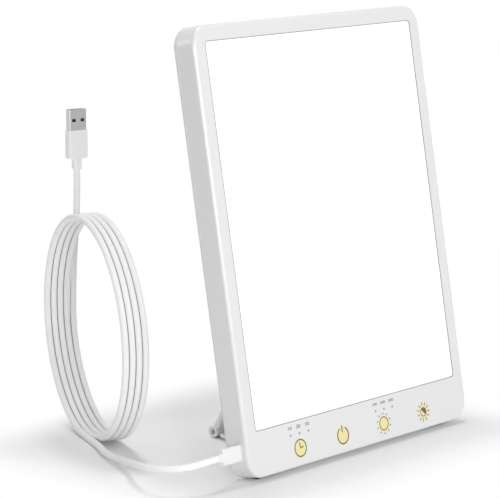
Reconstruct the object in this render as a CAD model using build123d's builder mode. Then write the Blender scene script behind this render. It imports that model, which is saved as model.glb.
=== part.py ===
"""Table light therapy lamp: slim light panel, fold-out stand and coiled power cord.

Millimetres, +Z up. The origin is the middle of the stand's rubber pad, on the table.
The lamp faces -Y and leans back; +X is to the right of somebody looking at it.
Lamp coordinates: u across, v up the face, n in from the front face.
"""

import os
from math import acos, asin, cos, degrees, hypot, pi, radians, sin, tan

from build123d import *

os.makedirs("parts", exist_ok=True)

# ---------------------------------------------------------------- driving dimensions
case_width = 198.0
case_height = 253.0
case_depth = 16.5
lean_angle = 10.0
face_lift = 3.0
corner_radius = 12.0
front_edge_radius = 2.0
rear_edge_radius = 2.4
seam_depth = 13.5
seam_chamfer = 0.3
wall = 2.0
running_gap = 0.05
free_gap = 0.3
press_gap = 0.02
rim_gap = 0.15
rim_thickness = 1.3
rim_reach = 1.6

# fastenings
screw_radius = 1.0
screw_head_radius = 1.9
screw_head_height = 1.0
screw_head_play = 0.1
boss_radius = 2.4
plate_screw_radius = 0.8
plate_post_radius = 2.2
bracket_boss_radius = 2.6
bracket_boss_reach = 3.1
touch_post_radius = 1.2
port_post_radius = 1.5

# screen window and the control strip under it
side_margin = 9.4
strip_height = 26.5
window_corner = 1.6
panel_thickness = 3.05
panel_flange = 1.9
guide_thickness = 3.0
reflector_thickness = 0.3
guide_margin = 1.0
led_pitch = 9.0
strip_end_gap = 1.5
led_length = 3.0
led_width = 2.0
led_height = 1.2
strip_thickness = 1.0
plate_sheet = 0.8

# electronics
board_thickness = 1.6
touch_board_thickness = 1.2
port_board_thickness = 1.0
standoff_height = 2.0
standoff_radius = 2.0
driver_width = 70.0
driver_height = 46.0
driver_middle_x = -5.0
component_height = 2.4
wire_thickness = 0.6
wire_width = 2.0
ribbon_width = 8.0
ribbon_thickness = 0.4
port_board_width = 12.6
port_board_length = 14.4
touch_chip_side = 7.0
touch_chip_rise = 3.3
touch_socket_rise = 2.0
touch_socket_length = 3.0
touch_socket_edge = 3.2
ribbon_offset = 7.0
ribbon_tuck = 2.2
ribbon_climb = 4.0
wire_play = 0.1
wire_bow = 1.1
wire_entry = 1.7
wire_landing = 2.0
power_lead_edge = 3.2
power_lead_climb = 9.0
tongue_length = 5.0
tongue_seat = 0.4
tongue_side_gap = 1.4
tongue_thickness = 0.7

# touch controls
icon_pitch = 37.35
icon_row_middle = 1.1
icon_height = 10.4
icon_radius = 5.2
icon_depth = 0.4
dot_row_height = 18.75
dot_radius = 0.7
dot_pitch = 7.7
timer_dots_middle = -54.2
level_dots_middle = 21.4

# power inlet in the left wall
port_height = 16.3
port_depth = 6.4
plug_length = 14.6
plug_width = 9.6
plug_thickness = 4.9
plug_collar_length = 3.0
plug_collar_width = 5.3
port_width = 9.2
port_opening = 3.4
socket_depth = 7.4
socket_sheet = 0.3
nose_length = 6.2

# fold-out stand
hinge_height = 3.5
axis_gap = 4.1
base_reach = 67.3
strut_reach = 108.0
pin_radius = 1.2
base_knuckle_radius = 3.2
strut_barrel_radius = 3.5
base_rear_half_width = 34.6
base_flare = 0.24
base_top = 3.4
pad_thickness = 1.6
strut_half_width = 35.0
bracket_half = 33.0
bracket_thickness = 2.2
lug_width = 9.0
middle_lug_half = 6.0
strut_knuckle_inner = 9.0
strut_knuckle_outer = 21.0
strut_thickness = 3.8
tip_radius = 2.0
groove_depth = 0.5
side_play = 0.4

# cord
cord_diameter = 4.0
coil_radius = 65.6
coil_turns = 4
coil_pitch = 4.06
coil_foot = (-88.27, 87.43)
coil_axis_angle = -24.52
usb_collar_length = 6.8
usb_mold_length = 17.2
usb_shell_length = 12.8
usb_bottom = 152.2
usb_place = (-43.8, 138.24)
usb_turn = -11.5
usb_mold_width = 13.4
usb_mold_thickness = 6.2
usb_collar_width = 5.4
usb_collar_thickness = 5.0
usb_shell_width = 12.0
usb_shell_thickness = 4.5
usb_sheet = 0.35
usb_window_width = 2.6
usb_window_height = 1.9
usb_window_rise = 6.2

# ---------------------------------------------------------------- derived geometry
lean_sin = sin(radians(lean_angle))
lean_cos = cos(radians(lean_angle))
hinge_depth = case_depth + axis_gap
hinge_back = (hinge_depth + (hinge_height - face_lift) * lean_sin) / lean_cos
hinge_rise = hinge_back * lean_sin + (hinge_height - face_lift) * lean_cos
base_hinge_y = -base_reach / 2
strut_hinge_y = base_hinge_y + base_reach
face_y = base_hinge_y - hinge_back
groove_radius = tip_radius + free_gap
tip_depth = case_depth - groove_depth + groove_radius
strut_hinge_depth = hinge_depth + base_reach * lean_cos
strut_angle = degrees(asin((strut_hinge_depth - tip_depth) / strut_reach))
strut_lean = strut_angle - lean_angle
strut_hinge_rise = hinge_rise + base_reach * lean_sin
tip_rise = strut_hinge_rise + strut_reach * cos(radians(strut_angle))
half_width = case_width / 2
window_half = half_width - side_margin
window_low = strip_height
window_high = case_height - side_margin
window_middle = (window_low + window_high) / 2
timer_x, power_x, brightness_x, dimmer_x = [
    icon_row_middle + (i - 1.5) * icon_pitch for i in range(4)
]
dot_places = [
    (middle + i * dot_pitch, dot_row_height)
    for middle in (timer_dots_middle, level_dots_middle)
    for i in (-1, 0, 1)
]

face_plane = Plane(
    origin=(0, face_y, face_lift), x_dir=(1, 0, 0), z_dir=(0, -lean_cos, lean_sin)
)
depth_axis = Axis((0, face_y, face_lift), (0, -lean_cos, lean_sin))


def at_depth(depth):
    """Plane parallel to the front face, depth behind it, looking out at the viewer."""
    return face_plane.offset(-depth)


def lamp_point(u, v, n):
    """Place in space of a point given in lamp coordinates."""
    return (
        u,
        face_y + v * lean_sin + n * lean_cos,
        face_lift + v * lean_cos - n * lean_sin,
    )


def slab(left, right, low, high, near, far, radius=0.0, mode=Mode.ADD):
    """Adds a flat block in lamp coordinates to the piece that is being built."""
    with BuildSketch(at_depth(far)) as outline:
        with Locations(((left + right) / 2, (low + high) / 2)):
            if radius > 0:
                RectangleRounded(right - left, high - low, radius)
            else:
                Rectangle(right - left, high - low)
    extrude(outline.sketch, amount=far - near, mode=mode)


def posts(places, radius, near, far, mode=Mode.ADD):
    """Adds round posts standing square to the front face, from near to far."""
    with BuildSketch(at_depth(far)) as outline:
        with Locations(*places):
            Circle(radius)
    extrude(outline.sketch, amount=far - near, mode=mode)


def bar_along_x(start, end, y, z, radius, mode=Mode.ADD):
    """Adds a round bar parallel to the X axis."""
    with BuildSketch(Plane(origin=(start, y, z), z_dir=(1, 0, 0))) as outline:
        Circle(radius)
    extrude(outline.sketch, amount=end - start, mode=mode)


def block(start, end, front, back, low, high, mode=Mode.ADD):
    """Adds an upright block given by its limits along X, Y and Z."""
    with BuildSketch(Plane.XY.offset(low)) as outline:
        with Locations(((start + end) / 2, (front + back) / 2)):
            Rectangle(end - start, back - front)
    extrude(outline.sketch, amount=high - low, mode=mode)


# ---------------------------------------------------------------- lamp case
inside_half = half_width - wall
top_screw_v = case_height - wall - boss_radius - free_gap
low_screw_v = wall + boss_radius + 2 * free_gap
corner_screw_u = half_width - wall - boss_radius - 3.1
case_screw_places = [
    (-corner_screw_u, top_screw_v),
    (0, top_screw_v),
    (corner_screw_u, top_screw_v),
    (-corner_screw_u + 1.5, low_screw_v),
    (corner_screw_u - 1.5, low_screw_v),
]
port_board_near = -inside_half + 2 * free_gap
port_board_far = port_board_near + port_board_length
port_post_u = port_board_far - port_post_radius - 1.1
port_post_places = [(port_post_u, port_height - 3.7), (port_post_u, port_height + 3.7)]
plate_screw_u = -port_post_u - port_post_radius - free_gap - 4.0
plate_low_screw_v = window_low - 1.5 - plate_post_radius - 4 * free_gap
plate_screw_places = [
    (-plate_screw_u, plate_low_screw_v),
    (plate_screw_u, plate_low_screw_v),
    (-inside_half / 2, top_screw_v),
    (inside_half / 2, top_screw_v),
]
touch_half = plate_screw_u - plate_post_radius - 2 * free_gap
touch_post_u = touch_half - touch_post_radius - 2.0
touch_low = icon_height - icon_radius
touch_high = window_low - 2.3
touch_post_places = [
    (side * touch_post_u, v)
    for side in (-1, 1)
    for v in (touch_low + 2.6, touch_high - 2.6)
]
flange_back = wall + 1.2
plate_front = flange_back + guide_thickness + reflector_thickness
plate_back = plate_front + plate_sheet
touch_board_back = wall + touch_board_thickness
port_board_front = port_depth + port_opening / 2 + socket_sheet - 0.1

with BuildPart() as front_bezel:
    slab(-half_width, half_width, 0, case_height, 0, seam_depth, corner_radius)
    fillet(
        front_bezel.faces().sort_by(depth_axis)[-1].edges(), radius=front_edge_radius
    )
    chamfer(front_bezel.faces().sort_by(depth_axis)[0].edges(), length=seam_chamfer)
    slab(
        -half_width + wall,
        half_width - wall,
        wall,
        case_height - wall,
        wall,
        seam_depth,
        corner_radius - wall,
        mode=Mode.SUBTRACT,
    )
    slab(
        -window_half,
        window_half,
        window_low,
        window_high,
        -1,
        wall,
        window_corner,
        mode=Mode.SUBTRACT,
    )
    # screw bosses and posts standing on the front wall
    posts(case_screw_places, boss_radius, wall, seam_depth)
    posts(plate_screw_places, plate_post_radius, wall, plate_front)
    posts(touch_post_places, touch_post_radius, wall, touch_board_back + 1.0)
    posts(port_post_places, port_post_radius, wall, port_board_front)
    posts(case_screw_places, screw_radius, wall + 3.0, seam_depth, mode=Mode.SUBTRACT)
    posts(
        plate_screw_places,
        plate_screw_radius,
        wall + 1.0,
        plate_front,
        mode=Mode.SUBTRACT,
    )
    # pockets for the touch symbols and holes for the indicator lights
    posts(
        [(x, icon_height) for x in (timer_x, power_x, brightness_x, dimmer_x)],
        icon_radius + running_gap,
        -1,
        icon_depth,
        mode=Mode.SUBTRACT,
    )
    posts(dot_places, dot_radius + running_gap, -1, wall, mode=Mode.SUBTRACT)
    # opening for the power plug
    with BuildSketch(
        Plane(
            origin=lamp_point(-half_width - 1, port_height, port_depth),
            x_dir=(0, lean_sin, lean_cos),
            z_dir=(1, 0, 0),
        )
    ):
        SlotOverall(port_width, port_opening)
    extrude(amount=wall + 1.5, mode=Mode.SUBTRACT)
front_bezel.part.label = "front_bezel"
export_step(front_bezel.part, "parts/front_bezel.step")

cover_plate_front = case_depth - wall
bracket_low = hinge_rise + base_knuckle_radius + 1.66
bracket_high = bracket_low + 15.0
bracket_screw_v = bracket_low + 9.5
bracket_screw_places = [
    (side * u, bracket_screw_v)
    for side in (-1, 1)
    for u in (bracket_half - 7.0, bracket_half - 24.0)
]

with BuildPart() as rear_cover:
    slab(
        -half_width, half_width, 0, case_height, seam_depth, case_depth, corner_radius
    )
    fillet(rear_cover.faces().sort_by(depth_axis)[0].edges(), radius=rear_edge_radius)
    chamfer(rear_cover.faces().sort_by(depth_axis)[-1].edges(), length=seam_chamfer)
    slab(
        -half_width + wall,
        half_width - wall,
        wall,
        case_height - wall,
        seam_depth,
        cover_plate_front,
        corner_radius - wall,
        mode=Mode.SUBTRACT,
    )
    # locating rim that slips inside the bezel's walls
    rim_outer = wall + rim_gap
    rim_inner = rim_outer + rim_thickness
    with BuildSketch(at_depth(cover_plate_front)):
        with Locations((0, case_height / 2)):
            RectangleRounded(
                case_width - 2 * rim_outer,
                case_height - 2 * rim_outer,
                corner_radius - rim_outer,
            )
            RectangleRounded(
                case_width - 2 * rim_inner,
                case_height - 2 * rim_inner,
                corner_radius - rim_inner,
                mode=Mode.SUBTRACT,
            )
    extrude(amount=cover_plate_front - seam_depth + rim_reach)
    # the rim makes room for the bezel's bosses, which meet pads on the cover
    posts(
        case_screw_places,
        boss_radius + free_gap,
        seam_depth - rim_reach,
        cover_plate_front,
        mode=Mode.SUBTRACT,
    )
    posts(case_screw_places, boss_radius, seam_depth, cover_plate_front)
    posts(case_screw_places, screw_radius, 0, case_depth + 1, mode=Mode.SUBTRACT)
    posts(
        case_screw_places,
        screw_head_radius + screw_head_play,
        case_depth - screw_head_height - screw_head_play,
        case_depth + 1,
        mode=Mode.SUBTRACT,
    )
    # blind bosses for the stand bracket's screws
    posts(
        bracket_screw_places,
        bracket_boss_radius,
        cover_plate_front - bracket_boss_reach,
        cover_plate_front,
    )
    posts(
        bracket_screw_places,
        screw_radius,
        cover_plate_front - bracket_boss_reach + 1.0,
        case_depth + 1,
        mode=Mode.SUBTRACT,
    )
    # shallow groove in which the strut's tips settle
    groove_place = lamp_point(0, tip_rise, tip_depth)
    bar_along_x(
        -strut_half_width + 1.0,
        strut_half_width - 1.0,
        groove_place[1],
        groove_place[2],
        groove_radius,
        mode=Mode.SUBTRACT,
    )
rear_cover.part.label = "rear_cover"
export_step(rear_cover.part, "parts/rear_cover.step")

with BuildPart() as case_screws:
    head_seat = case_depth - screw_head_height - screw_head_play
    posts(case_screw_places, screw_radius, wall + 4.0, head_seat)
    posts(case_screw_places, screw_head_radius, head_seat, case_depth - screw_head_play)
case_screws.part.label = "case_screws"
export_step(case_screws.part, "parts/case_screws.step")

# ---------------------------------------------------------------- light panel
with BuildPart() as diffuser_panel:
    slab(
        -window_half - panel_flange,
        window_half + panel_flange,
        window_low - 1.5,
        window_high + 1.6,
        wall,
        flange_back,
        window_corner,
    )
    slab(
        -window_half + free_gap,
        window_half - free_gap,
        window_low + free_gap,
        window_high - free_gap,
        flange_back - panel_thickness,
        wall,
        window_corner - free_gap,
    )
diffuser_panel.part.label = "diffuser_panel"
export_step(diffuser_panel.part, "parts/diffuser_panel.step")

guide_half = window_half + guide_margin
guide_low = window_low - guide_margin + 0.1
guide_high = window_high + guide_margin + 0.4
guide_back = flange_back + guide_thickness

with BuildPart() as light_guide_plate:
    slab(-guide_half, guide_half, guide_low, guide_high, flange_back, guide_back)
light_guide_plate.part.label = "light_guide_plate"
export_step(light_guide_plate.part, "parts/light_guide_plate.step")

with BuildPart() as reflector_sheet:
    slab(-guide_half, guide_half, guide_low, guide_high, guide_back, plate_front)
reflector_sheet.part.label = "reflector_sheet"
export_step(reflector_sheet.part, "parts/reflector_sheet.step")

led_inner = guide_half + free_gap
strip_inner = led_inner + led_height
strip_outer = strip_inner + strip_thickness
strip_front = flange_back + 0.1
for side, name in ((-1, "led_strip_left"), (1, "led_strip_right")):
    with BuildPart() as led_strip:
        slab(
            min(side * strip_inner, side * strip_outer),
            max(side * strip_inner, side * strip_outer),
            guide_low + strip_end_gap,
            guide_high - strip_end_gap,
            strip_front,
            plate_front,
        )
    led_strip.part.label = name
    export_step(led_strip.part, f"parts/{name}.step")

led_row_room = guide_high - guide_low - 2 * strip_end_gap - led_length
led_count = int(led_row_room // led_pitch) + 1
led_first = window_middle - (led_count - 1) * led_pitch / 2

with BuildPart() as led_packages:
    for side in (-1, 1):
        for i in range(led_count):
            led_v = led_first + i * led_pitch
            slab(
                min(side * led_inner, side * strip_inner),
                max(side * led_inner, side * strip_inner),
                led_v - led_length / 2,
                led_v + led_length / 2,
                strip_front + free_gap * 2,
                strip_front + free_gap * 2 + led_width,
            )
led_packages.part.label = "led_packages"
export_step(led_packages.part, "parts/led_packages.step")

with BuildPart() as back_plate:
    back_half = strip_outer + 0.1
    slab(-back_half, back_half, guide_low - 0.4, guide_high + free_gap, plate_front,
         plate_back)
    # ears with the screw holes
    for u, v in plate_screw_places:
        slab(
            u - 4,
            u + 4,
            min(v - plate_post_radius, guide_high - 4),
            max(v + plate_post_radius, guide_low + 4),
            plate_front,
            plate_back,
        )
    posts(
        plate_screw_places,
        plate_screw_radius + running_gap,
        plate_front,
        plate_back,
        mode=Mode.SUBTRACT,
    )
back_plate.part.label = "back_plate"
export_step(back_plate.part, "parts/back_plate.step")

with BuildPart() as plate_screws:
    posts(plate_screw_places, plate_screw_radius, wall + 1.6, plate_back)
    posts(plate_screw_places, 2 * plate_screw_radius, plate_back, plate_back + 0.9)
plate_screws.part.label = "plate_screws"
export_step(plate_screws.part, "parts/plate_screws.step")

# ---------------------------------------------------------------- electronics
driver_front = plate_back + standoff_height
driver_back = driver_front + board_thickness
driver_left = driver_middle_x - driver_width / 2
driver_right = driver_middle_x + driver_width / 2
driver_low = window_low + 35.5
driver_high = driver_low + driver_height
standoff_places = [
    (u, v)
    for v in (driver_low + 2 * standoff_radius, driver_high - 2 * standoff_radius)
    for u in (driver_left + 2 * standoff_radius, driver_right - 2 * standoff_radius)
]

with BuildPart() as board_standoffs:
    posts(standoff_places, standoff_radius, plate_back, driver_front)
board_standoffs.part.label = "board_standoffs"
export_step(board_standoffs.part, "parts/board_standoffs.step")

with BuildPart() as driver_board:
    slab(driver_left, driver_right, driver_low, driver_high, driver_front, driver_back)
driver_board.part.label = "driver_board"
export_step(driver_board.part, "parts/driver_board.step")

with BuildPart() as board_components:
    # coil, chip, second chip, socket and lower socket, then three round capacitors;
    # each is a middle counted from the board's lower left corner, a width and a height
    for across, up, width, height, rise in (
        (27.0, 19.0, 10.0, 10.0, component_height),
        (43.5, 19.5, 7.0, 7.0, component_height / 2),
        (57.0, 31.0, 8.0, 10.0, component_height),
        (6.0, 22.0, 6.0, 16.0, component_height),
        (35.0, 4.0, 14.0, 4.0, component_height),
    ):
        middle_u = driver_left + across * driver_width / 70
        middle_v = driver_low + up * driver_height / 46
        slab(
            middle_u - width / 2,
            middle_u + width / 2,
            middle_v - height / 2,
            middle_v + height / 2,
            driver_back,
            driver_back + rise,
        )
    capacitor_places = [
        (driver_left + driver_width * share, driver_high - driver_height * 0.22)
        for share in (0.26, 0.37, 0.48)
    ]
    posts(capacitor_places, component_height, driver_back, driver_back + component_height)
board_components.part.label = "board_components"
export_step(board_components.part, "parts/board_components.step")

with BuildPart() as touch_board:
    slab(-touch_half, touch_half, touch_low, touch_high, wall, touch_board_back)
    posts(
        touch_post_places,
        touch_post_radius + running_gap,
        wall,
        touch_board_back,
        mode=Mode.SUBTRACT,
    )
touch_board.part.label = "touch_board"
export_step(touch_board.part, "parts/touch_board.step")

ribbon_middle = driver_left + ribbon_width + ribbon_offset
touch_socket_back = touch_board_back + touch_socket_rise
touch_socket_high = touch_high - touch_socket_edge
with BuildPart() as touch_components:
    slab(-touch_chip_side / 2, touch_chip_side / 2, touch_low + touch_chip_rise,
         touch_low + touch_chip_rise + touch_chip_side, touch_board_back,
         touch_board_back + component_height / 2)
    slab(
        ribbon_middle - ribbon_width / 2 - 1,
        ribbon_middle + ribbon_width / 2 + 1,
        touch_socket_high - touch_socket_length,
        touch_socket_high,
        touch_board_back,
        touch_socket_back,
    )
touch_components.part.label = "touch_components"
export_step(touch_components.part, "parts/touch_components.step")

ribbon_near = plate_back + 0.5
ribbon_far = ribbon_near + ribbon_thickness
ribbon_left = ribbon_middle - ribbon_width / 2
ribbon_right = ribbon_middle + ribbon_width / 2
ribbon_low = touch_socket_high - ribbon_tuck
ribbon_high = driver_low + ribbon_climb
with BuildPart() as ribbon_cable:
    slab(ribbon_left, ribbon_right, ribbon_low, ribbon_low + ribbon_thickness,
         touch_socket_back, ribbon_near)
    slab(ribbon_left, ribbon_right, ribbon_low, ribbon_high, ribbon_near, ribbon_far)
    slab(ribbon_left, ribbon_right, ribbon_high - ribbon_thickness, ribbon_high,
         ribbon_far, driver_front)
ribbon_cable.part.label = "ribbon_cable"
export_step(ribbon_cable.part, "parts/ribbon_cable.step")

with BuildPart() as led_wires:
    wire_low = driver_low + driver_height / 2 - wire_width / 2
    wire_high = wire_low + wire_width
    wire_near = plate_back + 0.6
    wire_far = wire_near + wire_thickness
    wire_end = strip_front + wire_entry
    for side, board_edge in (
        (-1, driver_left + wire_landing),
        (1, driver_right - wire_landing),
    ):
        outer_u = side * (strip_outer + wire_bow)
        inner_u = side * (strip_outer + 0.2)
        slab(min(outer_u, board_edge), max(outer_u, board_edge), wire_low, wire_high,
             wire_near, wire_far)
        slab(min(outer_u, inner_u), max(outer_u, inner_u), wire_low, wire_high,
             wire_end, wire_near)
        slab(board_edge - wire_thickness, board_edge + wire_thickness, wire_low,
             wire_high, wire_far, driver_front)
        slab(min(inner_u, side * strip_outer), max(inner_u, side * strip_outer),
             wire_low, wire_high, wire_end, wire_end + 1.0)
led_wires.part.label = "led_wires"
export_step(led_wires.part, "parts/led_wires.step")

# ---------------------------------------------------------------- touch symbols
for name, place in (
    ("timer_symbol", timer_x),
    ("power_symbol", power_x),
    ("brightness_symbol", brightness_x),
    ("dimmer_symbol", dimmer_x),
):
    with BuildPart() as symbol_disc:
        posts([(place, icon_height)], icon_radius, 0.02, icon_depth)
    symbol_disc.part.label = name
    export_step(symbol_disc.part, f"parts/{name}.step")

with BuildPart() as indicator_lights:
    posts(dot_places, dot_radius, 0.05, wall)
indicator_lights.part.label = "indicator_lights"
export_step(indicator_lights.part, "parts/indicator_lights.step")

# ---------------------------------------------------------------- power inlet and plug
port_plane = Plane(
    origin=lamp_point(-half_width + wall, port_height, port_depth),
    x_dir=(0, lean_sin, lean_cos),
    z_dir=(1, 0, 0),
)
plug_plane = Plane(
    origin=lamp_point(-half_width, port_height, port_depth),
    x_dir=(0, lean_sin, lean_cos),
    z_dir=(-1, 0, 0),
)

with BuildPart() as port_board:
    slab(
        port_board_near,
        port_board_far,
        port_height - port_board_width / 2,
        port_height + port_board_width / 2,
        port_board_front,
        port_board_front + port_board_thickness,
    )
port_board.part.label = "port_board"
export_step(port_board.part, "parts/port_board.step")

with BuildPart() as usb_socket:
    socket_width = port_width + 0.2
    socket_height = port_opening + 0.2
    with BuildSketch(port_plane):
        SlotOverall(socket_width, socket_height)
        SlotOverall(
            socket_width - 2 * socket_sheet,
            socket_height - 2 * socket_sheet,
            mode=Mode.SUBTRACT,
        )
    extrude(amount=socket_depth)
    with BuildSketch(port_plane.offset(socket_depth - 0.4)):
        SlotOverall(socket_width, socket_height)
    extrude(amount=0.4)
    # feet that stand on the little board
    for foot_u in (port_board_near + 0.4, port_board_near + 6.0):
        slab(
            foot_u,
            foot_u + 2.5 * socket_sheet,
            port_height - port_width / 3,
            port_height + port_width / 3,
            port_depth + socket_height / 2 - 0.15,
            port_board_front,
        )
usb_socket.part.label = "usb_socket"
export_step(usb_socket.part, "parts/usb_socket.step")

with BuildPart() as socket_tongue:
    with BuildSketch(port_plane.offset(socket_depth - tongue_seat - tongue_length)):
        Rectangle(port_width - 2 * tongue_side_gap, tongue_thickness)
    extrude(amount=tongue_length)
socket_tongue.part.label = "socket_tongue"
export_step(socket_tongue.part, "parts/socket_tongue.step")

with BuildPart() as power_wires:
    lead_near = port_board_front + port_board_thickness
    lead_far = lead_near + wire_thickness + wire_play
    lead_left = port_board_far - power_lead_edge
    lead_high = driver_low + power_lead_climb
    slab(lead_left, lead_left + wire_width, port_height, lead_high, lead_near, lead_far)
    slab(lead_left, driver_left, lead_high - wire_width, lead_high, lead_near, lead_far)
power_wires.part.label = "power_wires"
export_step(power_wires.part, "parts/power_wires.step")

with BuildPart() as lamp_plug_body:
    with BuildSketch(plug_plane):
        RectangleRounded(plug_width, plug_thickness, 1.5)
    extrude(amount=plug_length)
    fillet(
        lamp_plug_body.faces().sort_by(Axis.X)[0].edges(), radius=0.7
    )
lamp_plug_body.part.label = "lamp_plug_body"
export_step(lamp_plug_body.part, "parts/lamp_plug_body.step")

with BuildPart() as lamp_plug_shell:
    with BuildSketch(plug_plane):
        SlotOverall(port_width - 0.8, port_opening - 0.8)
        SlotOverall(port_width - 1.4, port_opening - 1.4, mode=Mode.SUBTRACT)
    extrude(amount=-nose_length)
lamp_plug_shell.part.label = "lamp_plug_shell"
export_step(lamp_plug_shell.part, "parts/lamp_plug_shell.step")

collar_plane = plug_plane.offset(plug_length)
with BuildPart() as lamp_plug_collar:
    with BuildSketch(collar_plane):
        RectangleRounded(plug_collar_width, plug_thickness - 0.1, 1.8)
    extrude(amount=plug_collar_length)
    fillet(
        lamp_plug_collar.faces().sort_by(Axis.X)[0].edges(), radius=0.35
    )
lamp_plug_collar.part.label = "lamp_plug_collar"
export_step(lamp_plug_collar.part, "parts/lamp_plug_collar.step")

# ---------------------------------------------------------------- feet
foot_near = 8.0
foot_far = 13.0
foot_length = 15.0
foot_middle = half_width - 21.5
with BuildPart() as bottom_feet:
    for side in (-1, 1):
        foot_start = side * foot_middle - foot_length / 2
        with BuildSketch(
            Plane(origin=(foot_start, 0, 0), z_dir=(1, 0, 0), x_dir=(0, 1, 0))
        ) as foot_side:
            near_point = lamp_point(0, 0, foot_near)
            far_point = lamp_point(0, 0, foot_far)
            with BuildLine():
                Polyline(
                    (near_point[1], 0),
                    (far_point[1], 0),
                    (far_point[1], far_point[2]),
                    (near_point[1], near_point[2]),
                    close=True,
                )
            make_face()
        extrude(foot_side.sketch, amount=foot_length)
bottom_feet.part.label = "bottom_feet"
export_step(bottom_feet.part, "parts/bottom_feet.step")

# ---------------------------------------------------------------- stand
bracket_plate_back = case_depth + bracket_thickness
lug_inner = bracket_half - lug_width
lug_spans = [
    (-bracket_half, -lug_inner),
    (-middle_lug_half, middle_lug_half),
    (lug_inner, bracket_half),
]
base_knuckle_spans = [
    (-lug_inner + side_play, -middle_lug_half - side_play),
    (middle_lug_half + side_play, lug_inner - side_play),
]

bracket_head_seat = bracket_plate_back - screw_head_height - 0.2

with BuildPart() as stand_bracket:
    slab(
        -bracket_half,
        bracket_half,
        bracket_low,
        bracket_high,
        case_depth,
        bracket_plate_back,
        2.0,
    )
    for start, end in lug_spans:
        bar_along_x(start, end, base_hinge_y, hinge_height, base_knuckle_radius)
        slab(start, end, hinge_rise - 0.94, bracket_low + 3.0, case_depth, hinge_depth)
    bar_along_x(
        -bracket_half - 1,
        bracket_half + 1,
        base_hinge_y,
        hinge_height,
        pin_radius + press_gap,
        mode=Mode.SUBTRACT,
    )
    posts(
        bracket_screw_places,
        screw_radius + running_gap,
        case_depth,
        bracket_plate_back + 1,
        mode=Mode.SUBTRACT,
    )
    posts(
        bracket_screw_places,
        screw_head_radius + screw_head_play,
        bracket_head_seat,
        bracket_plate_back + 1,
        mode=Mode.SUBTRACT,
    )
stand_bracket.part.label = "stand_bracket"
export_step(stand_bracket.part, "parts/stand_bracket.step")

with BuildPart() as bracket_screws:
    posts(
        bracket_screw_places,
        screw_radius,
        cover_plate_front - bracket_boss_reach + 1.4,
        bracket_head_seat,
    )
    posts(
        bracket_screw_places,
        screw_head_radius,
        bracket_head_seat,
        bracket_head_seat + screw_head_height,
    )
bracket_screws.part.label = "bracket_screws"
export_step(bracket_screws.part, "parts/bracket_screws.step")

with BuildPart() as base_hinge_pin:
    bar_along_x(
        -bracket_half + 0.4,
        bracket_half - 0.4,
        base_hinge_y,
        hinge_height,
        pin_radius,
    )
base_hinge_pin.part.label = "base_hinge_pin"
export_step(base_hinge_pin.part, "parts/base_hinge_pin.step")

plate_front_y = base_hinge_y + base_knuckle_radius + 1.1
plate_rear_y = strut_hinge_y - strut_barrel_radius - 0.8
base_front_half_width = base_rear_half_width + base_flare * (
    plate_rear_y - plate_front_y
)
strut_knuckle_spans = [
    (-strut_knuckle_outer, -strut_knuckle_inner),
    (strut_knuckle_inner, strut_knuckle_outer),
]

with BuildPart() as stand_base_plate:
    with BuildSketch(Plane.XY.offset(pad_thickness)) as plate_outline:
        with BuildLine():
            Polyline(
                (-base_front_half_width, plate_front_y),
                (base_front_half_width, plate_front_y),
                (base_rear_half_width, plate_rear_y),
                (-base_rear_half_width, plate_rear_y),
                close=True,
            )
        make_face()
        fillet(plate_outline.vertices(), radius=3.0)
    extrude(amount=base_top - pad_thickness)
    chamfer(
        stand_base_plate.faces().sort_by(Axis.Z)[-1].edges(), length=0.4
    )
    for start, end in base_knuckle_spans:
        bar_along_x(start, end, base_hinge_y, hinge_height, base_knuckle_radius)
        block(start, end, base_hinge_y, plate_front_y + 4, pad_thickness, base_top)
    for start, end in strut_knuckle_spans:
        bar_along_x(start, end, strut_hinge_y, hinge_height, base_knuckle_radius)
        block(start, end, plate_rear_y - 4, strut_hinge_y, pad_thickness, base_top)
    bar_along_x(
        -bracket_half - 1,
        bracket_half + 1,
        base_hinge_y,
        hinge_height,
        pin_radius + running_gap,
        mode=Mode.SUBTRACT,
    )
    bar_along_x(
        -strut_half_width - 1,
        strut_half_width + 1,
        strut_hinge_y,
        hinge_height,
        pin_radius + press_gap,
        mode=Mode.SUBTRACT,
    )
stand_base_plate.part.label = "stand_base_plate"
export_step(stand_base_plate.part, "parts/stand_base_plate.step")

pad_inset = 0.7
with BuildPart() as base_rubber_pad:
    with BuildSketch(Plane.XY) as pad_outline:
        with BuildLine():
            Polyline(
                (-base_front_half_width + pad_inset, plate_front_y + pad_inset),
                (base_front_half_width - pad_inset, plate_front_y + pad_inset),
                (base_rear_half_width - pad_inset, plate_rear_y - pad_inset),
                (-base_rear_half_width + pad_inset, plate_rear_y - pad_inset),
                close=True,
            )
        make_face()
        fillet(pad_outline.vertices(), radius=2.4)
    extrude(amount=pad_thickness)
base_rubber_pad.part.label = "base_rubber_pad"
export_step(base_rubber_pad.part, "parts/base_rubber_pad.step")

with BuildPart() as strut_hinge_pin:
    bar_along_x(
        -strut_half_width + 1.6,
        strut_half_width - 1.6,
        strut_hinge_y,
        hinge_height,
        pin_radius,
    )
strut_hinge_pin.part.label = "strut_hinge_pin"
export_step(strut_hinge_pin.part, "parts/strut_hinge_pin.step")

strut_plane = Plane(
    origin=(0, strut_hinge_y, hinge_height),
    x_dir=(1, 0, 0),
    z_dir=(0, -cos(radians(strut_lean)), -sin(radians(strut_lean))),
)
strut_plate_top = strut_reach - 2 * tip_radius
tip_inner = strut_half_width - 22.0
tip_outer = strut_half_width - 4.0
tip_spans = [(-tip_outer, -tip_inner), (tip_inner, tip_outer)]
tongue_depth = 5.0
tongue_thickness = 1.4

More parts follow.
